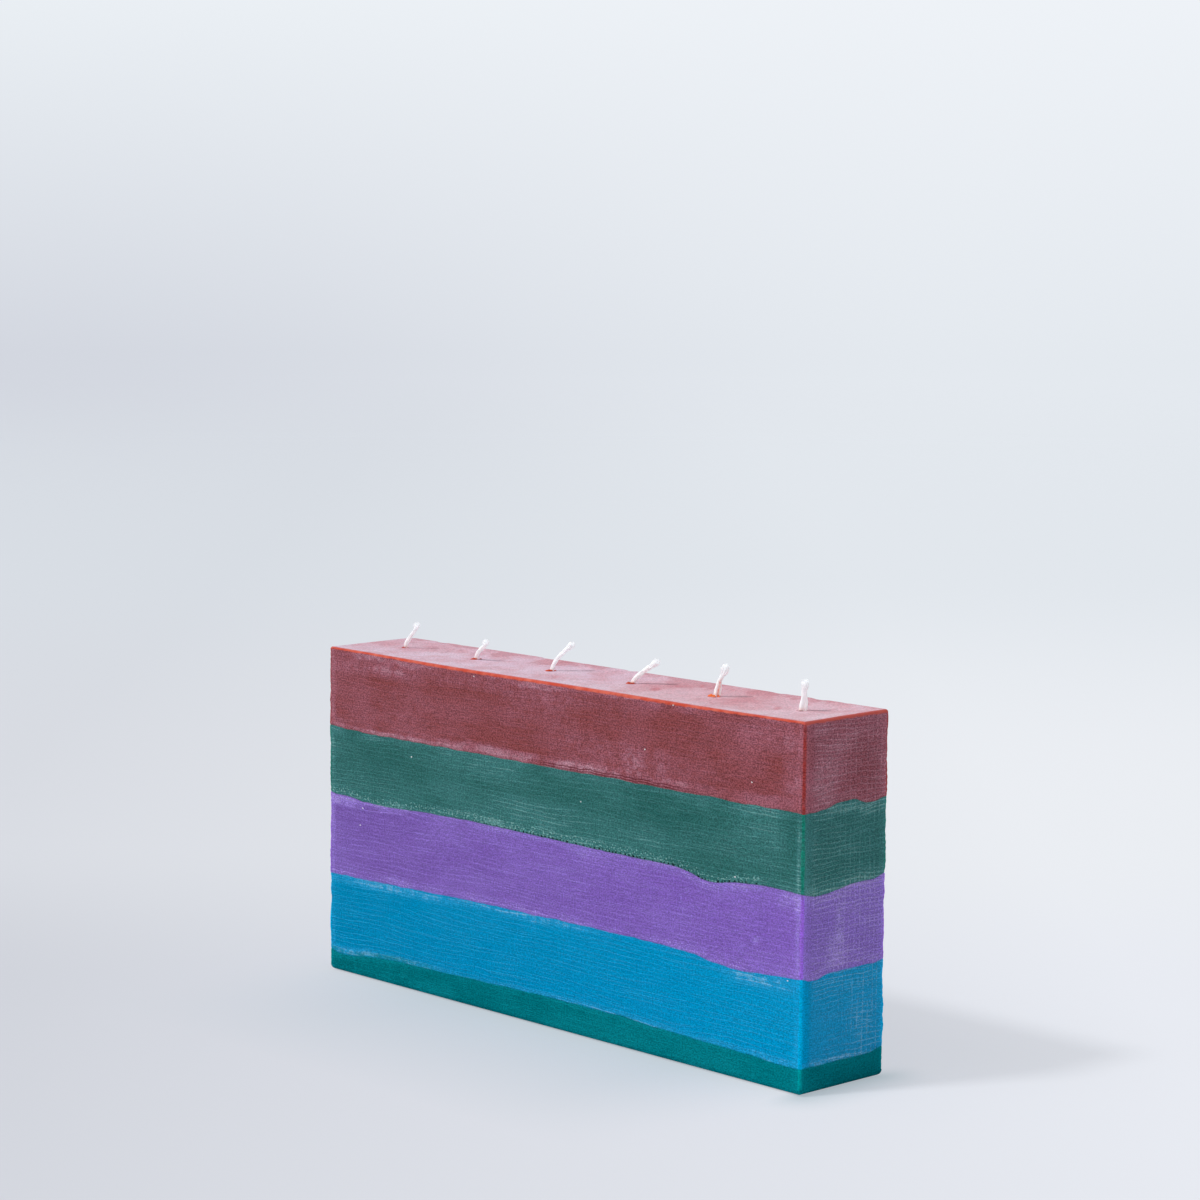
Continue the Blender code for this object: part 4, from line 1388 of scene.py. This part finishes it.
def braid_wick(number, wick_x, course, tufts, twist, gap):
    """One wick: a straight core in the wax, the braid that shows, and the loose threads of its tip."""
    random = np.random.default_rng(100 + number)
    leaves_wax = Vector((wick_x, 0, block_height - hollow_depth - hollow_tilt * wick_x))
    course = [np.array(point) * millimetre for point in course]
    length = sum(np.linalg.norm(end[:3] - start[:3]) for start, end in zip(course, course[1:]))
    steps = int(length / strand_step)
    stations = [(leaves_wax + Vector((0, 0, -below_wax)), buried_radius)]
    for step in range(steps + 1):
        point = smooth_course(course, step / steps)
        stations.append((leaves_wax + Vector(point[:3]), point[3] / 2))
    pieces = []

    core = [(Vector((wick_x, 0, wick_foot)), buried_radius), (stations[0][0], buried_radius)]
    for place, half in stations[2:-1]:
        core.append((place, half * core_share))
    pieces.append(add_strand("core", core))

    for turn_way in (1, -1):
        for strand in range(strand_count):
            start_angle = (strand + 0.5) * 2 * math.pi / strand_count + (0.4 if turn_way < 0 else 0.0)
            cut_short = random.integers(0, 4)
            path = []
            for step, (place, half) in enumerate(stations[:len(stations) - cut_short]):
                next_place = stations[min(step + 1, len(stations) - 1)][0]
                last_place = stations[max(step - 1, 0)][0]
                along = (next_place - last_place).normalized()
                side = (aside - along * aside.dot(along)).normalized()
                across = along.cross(side)
                reach = step * strand_step
                angle = turn_way * 2 * math.pi * reach / twist + start_angle
                opened = gap * (1 - float(smooth_step(np.array(reach), *gap_closes)))
                ring = half * ring_share * (1 + 0.06 * turn_way * math.cos(4 * angle))
                off_side = math.cos(angle) * ring
                off_side += math.copysign(opened, off_side)
                place = place + side * off_side + across * math.sin(angle) * ring
                path.append((place, half * strand_share))
            pieces.append(add_strand("strand", path))

    for place, reach, count in tufts:
        middle = leaves_wax + Vector(place) * millimetre
        reach *= millimetre
        for fibre in range(count):
            out = Vector(random.normal(size=3)).normalized()
            root = middle + out * reach * random.uniform(0.0, 0.75)
            run = (out + Vector(random.normal(size=3)) * 0.8).normalized()
            curl = Vector(random.normal(size=3)) * 0.5
            span = reach * random.uniform(0.4, 1.0)
            path = []
            for index in range(5):
                share = index / 4
                bent = root + (run * (share - 0.5) + curl * share * share) * span
                off = bent - middle
                if off.length > reach:
                    bent = middle + off * (reach / off.length)
                path.append((bent, fibre_radius * (1 - 0.5 * share)))
            pieces.append(add_strand("fibre", path))

    bpy.ops.object.select_all(action="DESELECT")
    for piece in pieces:
        piece.select_set(True)
    bpy.context.view_layer.objects.active = pieces[0]
    bpy.ops.object.convert(target="MESH")
    bpy.ops.object.join()
    wick = bpy.context.object
    wick.name = f"braided_wick_{number}"
    wick.data.name = wick.name
    bpy.ops.object.mode_set(mode="EDIT")
    bpy.ops.mesh.select_all(action="SELECT")
    bpy.ops.mesh.remove_doubles(threshold=0.000001)
    bpy.ops.mesh.normals_make_consistent(inside=False)
    bpy.ops.object.mode_set(mode="OBJECT")
    bpy.ops.object.shade_smooth_by_angle(angle=math.radians(60))

    # Wax soaks into the foot, and up the middle of the side that faces the front corner
    points = read_points(wick)
    heights = np.array([place.z for place, half in stations])
    middle_side = np.interp(points[:, 2], heights, [place.dot(aside) for place, half in stations])
    half_there = np.interp(points[:, 2], heights, [half for place, half in stations])
    off_side = (points @ np.array(aside) - middle_side) / half_there
    above = points[:, 2] - leaves_wax.z
    foot_soak = 1 - smooth_step(above, 0.0002, 0.0016)
    stripe = np.exp(-((off_side - 0.15) / 0.42) ** 4) * (1 - smooth_step(above, 0.0045, 0.0070))
    for name, values in (("foot_soak", foot_soak), ("stripe", stripe)):
        attribute = wick.data.attributes.new(name, "FLOAT", "POINT")
        attribute.data.foreach_set("value", values.astype(np.float32))
    return wick


def spin_cotton(name, soak_share):
    """Bleached cotton with a faint painted glow, that has drawn up some of the red wax at its foot."""
    material = bpy.data.materials.new(name)
    material.use_nodes = True
    tree = material.node_tree
    shader = tree.nodes["Principled BSDF"]
    place = add_node(tree, "ShaderNodeTexCoord").outputs["Object"]
    threads = add_noise(tree, place, 2600, 3.0, 0.6)
    shaded_white = linear(240, 244, 248)
    bright_white = linear(252, 254, 255)
    white = add_colour_mix(tree, add_range(tree, threads, 0.3, 0.7), shaded_white, bright_white)
    blotch = add_range(tree, add_noise(tree, place, 1200, 3.0), 0.35, 0.65, 0.45, 1.1)
    foot = add_maths(tree, "MULTIPLY", read_note(tree, "foot_soak"), 0.35)
    striped = add_maths(tree, "MULTIPLY", read_note(tree, "stripe"), soak_share)
    soaked = add_maths(tree, "MAXIMUM", foot, striped)
    soaked = add_maths(tree, "MULTIPLY", soaked, blotch, clamp=True)
    colour = add_colour_mix(tree, soaked, white, linear(226, 132, 108))
    tree.links.new(colour, shader.inputs["Base Color"])
    tree.links.new(add_range(tree, soaked, 0.0, 1.0, 0.85, 0.45), shader.inputs["Roughness"])
    shader.inputs["Specular IOR Level"].default_value = 0.2
    shader.inputs["Sheen Weight"].default_value = 0.4
    shader.inputs["Subsurface Weight"].default_value = 0.5
    shader.inputs["Subsurface Scale"].default_value = 0.0006
    shader.inputs["Subsurface Radius"].default_value = (1.0, 1.0, 1.0)
    # Painted glow: the cotton gives off a little light in its own colour
    tree.links.new(colour, shader.inputs["Emission Color"])
    shader.inputs["Emission Strength"].default_value = 0.20
    relief = add_node(tree, "ShaderNodeBump", {"Height": threads, "Distance": 0.00003, "Strength": 1.0})
    tree.links.new(relief.outputs[0], shader.inputs["Normal"])
    return material


for number, wick_x in enumerate(wick_places, start=1):
    index = number - 1
    wick = braid_wick(
        number, wick_x, wick_courses[index], wick_tufts[index], wick_twists[index], wick_gaps[index],
    )
    cotton = spin_cotton(f"wick_cotton_{number}", wax_soaked[index])
    stand_in(wick, cotton, f"wick_{number}")


# Each wick stands in a foot of thin tinplate: a pressed disc with a raised bead, whose middle is
# drawn up into a neck and crimped on the wick. It sits in a recess in the underside of the base.
disc_radius = 0.0075
disc_low = 0.0003
sheet = 0.0004
neck_top = 0.0049
neck_inner = 0.00145
foot_inner = 0.00215
bead_radius = 0.0052
bead_width = 0.0007
bead_height = 0.00022
crimp_depth = 0.00016


def press_foot(number, wick_x):
    """Turn the foot's section round the wick, then pinch its neck from four sides."""
    bpy.ops.object.select_all(action="DESELECT")
    bpy.ops.mesh.primitive_circle_add(vertices=64, radius=disc_radius)
    foot = bpy.context.object
    foot.name = f"tinplate_wick_foot_{number}"
    foot.data.name = foot.name
    foot.data.transform(Matrix.Translation((0, 0, disc_low)))
    section = [(disc_radius, disc_low + sheet * 0.85), (disc_radius - 0.00008, disc_low + sheet)]
    for step in range(9):
        share = step / 8
        place = bead_radius + bead_width * (1 - 2 * share)
        section.append((place, disc_low + sheet + bead_height * math.sin(math.pi * share) ** 2))
    section += [
        (0.0034, disc_low + sheet), (0.0028, disc_low + sheet + 0.0002),
        (0.0023, disc_low + sheet + 0.0009), (0.0020, disc_low + sheet + 0.0020),
        (0.00186, 0.0036), (0.00185, neck_top - 0.0001), (0.00178, neck_top),
        (neck_inner + 0.00005, neck_top), (neck_inner, neck_top - 0.0001), (neck_inner, 0.0036),
        (0.0016, disc_low + 0.0020), (0.0019, disc_low + 0.0009), (foot_inner, disc_low + 0.0002),
        (0.0030, disc_low),
    ]
    bpy.ops.object.mode_set(mode="EDIT")
    bpy.ops.mesh.select_all(action="SELECT")
    radius, height = disc_radius, disc_low
    for next_radius, next_height in section:
        bpy.ops.mesh.extrude_edges_move(TRANSFORM_OT_translate={"value": (0, 0, next_height - height)})
        spread = next_radius / radius
        bpy.ops.transform.resize(value=(spread, spread, 1), center_override=(0, 0, next_height))
        radius, height = next_radius, next_height
    bpy.ops.mesh.select_all(action="SELECT")
    bpy.ops.mesh.select_mode(type="EDGE")
    bpy.ops.mesh.region_to_loop()
    bpy.ops.mesh.bridge_edge_loops()
    bpy.ops.mesh.select_all(action="SELECT")
    bpy.ops.mesh.normals_make_consistent(inside=False)
    bpy.ops.object.mode_set(mode="OBJECT")
    points = read_points(foot)
    radii = np.hypot(points[:, 0], points[:, 1])
    angles = np.arctan2(points[:, 1], points[:, 0])
    pinch = crimp_depth * np.clip(np.cos(4 * angles), 0, 1) * np.exp(-((points[:, 2] - 0.0040) / 0.0006) ** 2)
    pinch = np.where((radii < 0.0022) & (radii > 0.0017), pinch, 0)
    points[:, 0] -= pinch * np.cos(angles)
    points[:, 1] -= pinch * np.sin(angles)
    points[:, 0] += wick_x
    write_points(foot, points)
    bpy.ops.object.shade_smooth_by_angle(angle=math.radians(40))
    return foot


tinplate = bpy.data.materials.new("wick_tinplate")
tinplate.use_nodes = True
tree = tinplate.node_tree
shader = tree.nodes["Principled BSDF"]
place = add_node(tree, "ShaderNodeTexCoord").outputs["Object"]
roll_marks = add_noise(tree, stretch(tree, place, (300, 4000, 4000)), 1.0, 3.0)
stains = add_noise(tree, place, 500, 4.0)
dulled = add_range(tree, stains, 0.35, 0.7)
tin_colour = add_colour_mix(tree, dulled, linear(200, 202, 204), linear(168, 168, 166))
tree.links.new(tin_colour, shader.inputs["Base Color"])
tree.links.new(add_range(tree, roll_marks, 0.3, 0.7, 0.28, 0.42), shader.inputs["Roughness"])
shader.inputs["Metallic"].default_value = 1.0
relief = add_node(tree, "ShaderNodeBump", {"Height": roll_marks, "Distance": 0.00001, "Strength": 1.0})
tree.links.new(relief.outputs[0], shader.inputs["Normal"])

for number, wick_x in enumerate(wick_places, start=1):
    foot = press_foot(number, wick_x)
    stand_in(foot, tinplate, f"wick_sustainer_{number}")
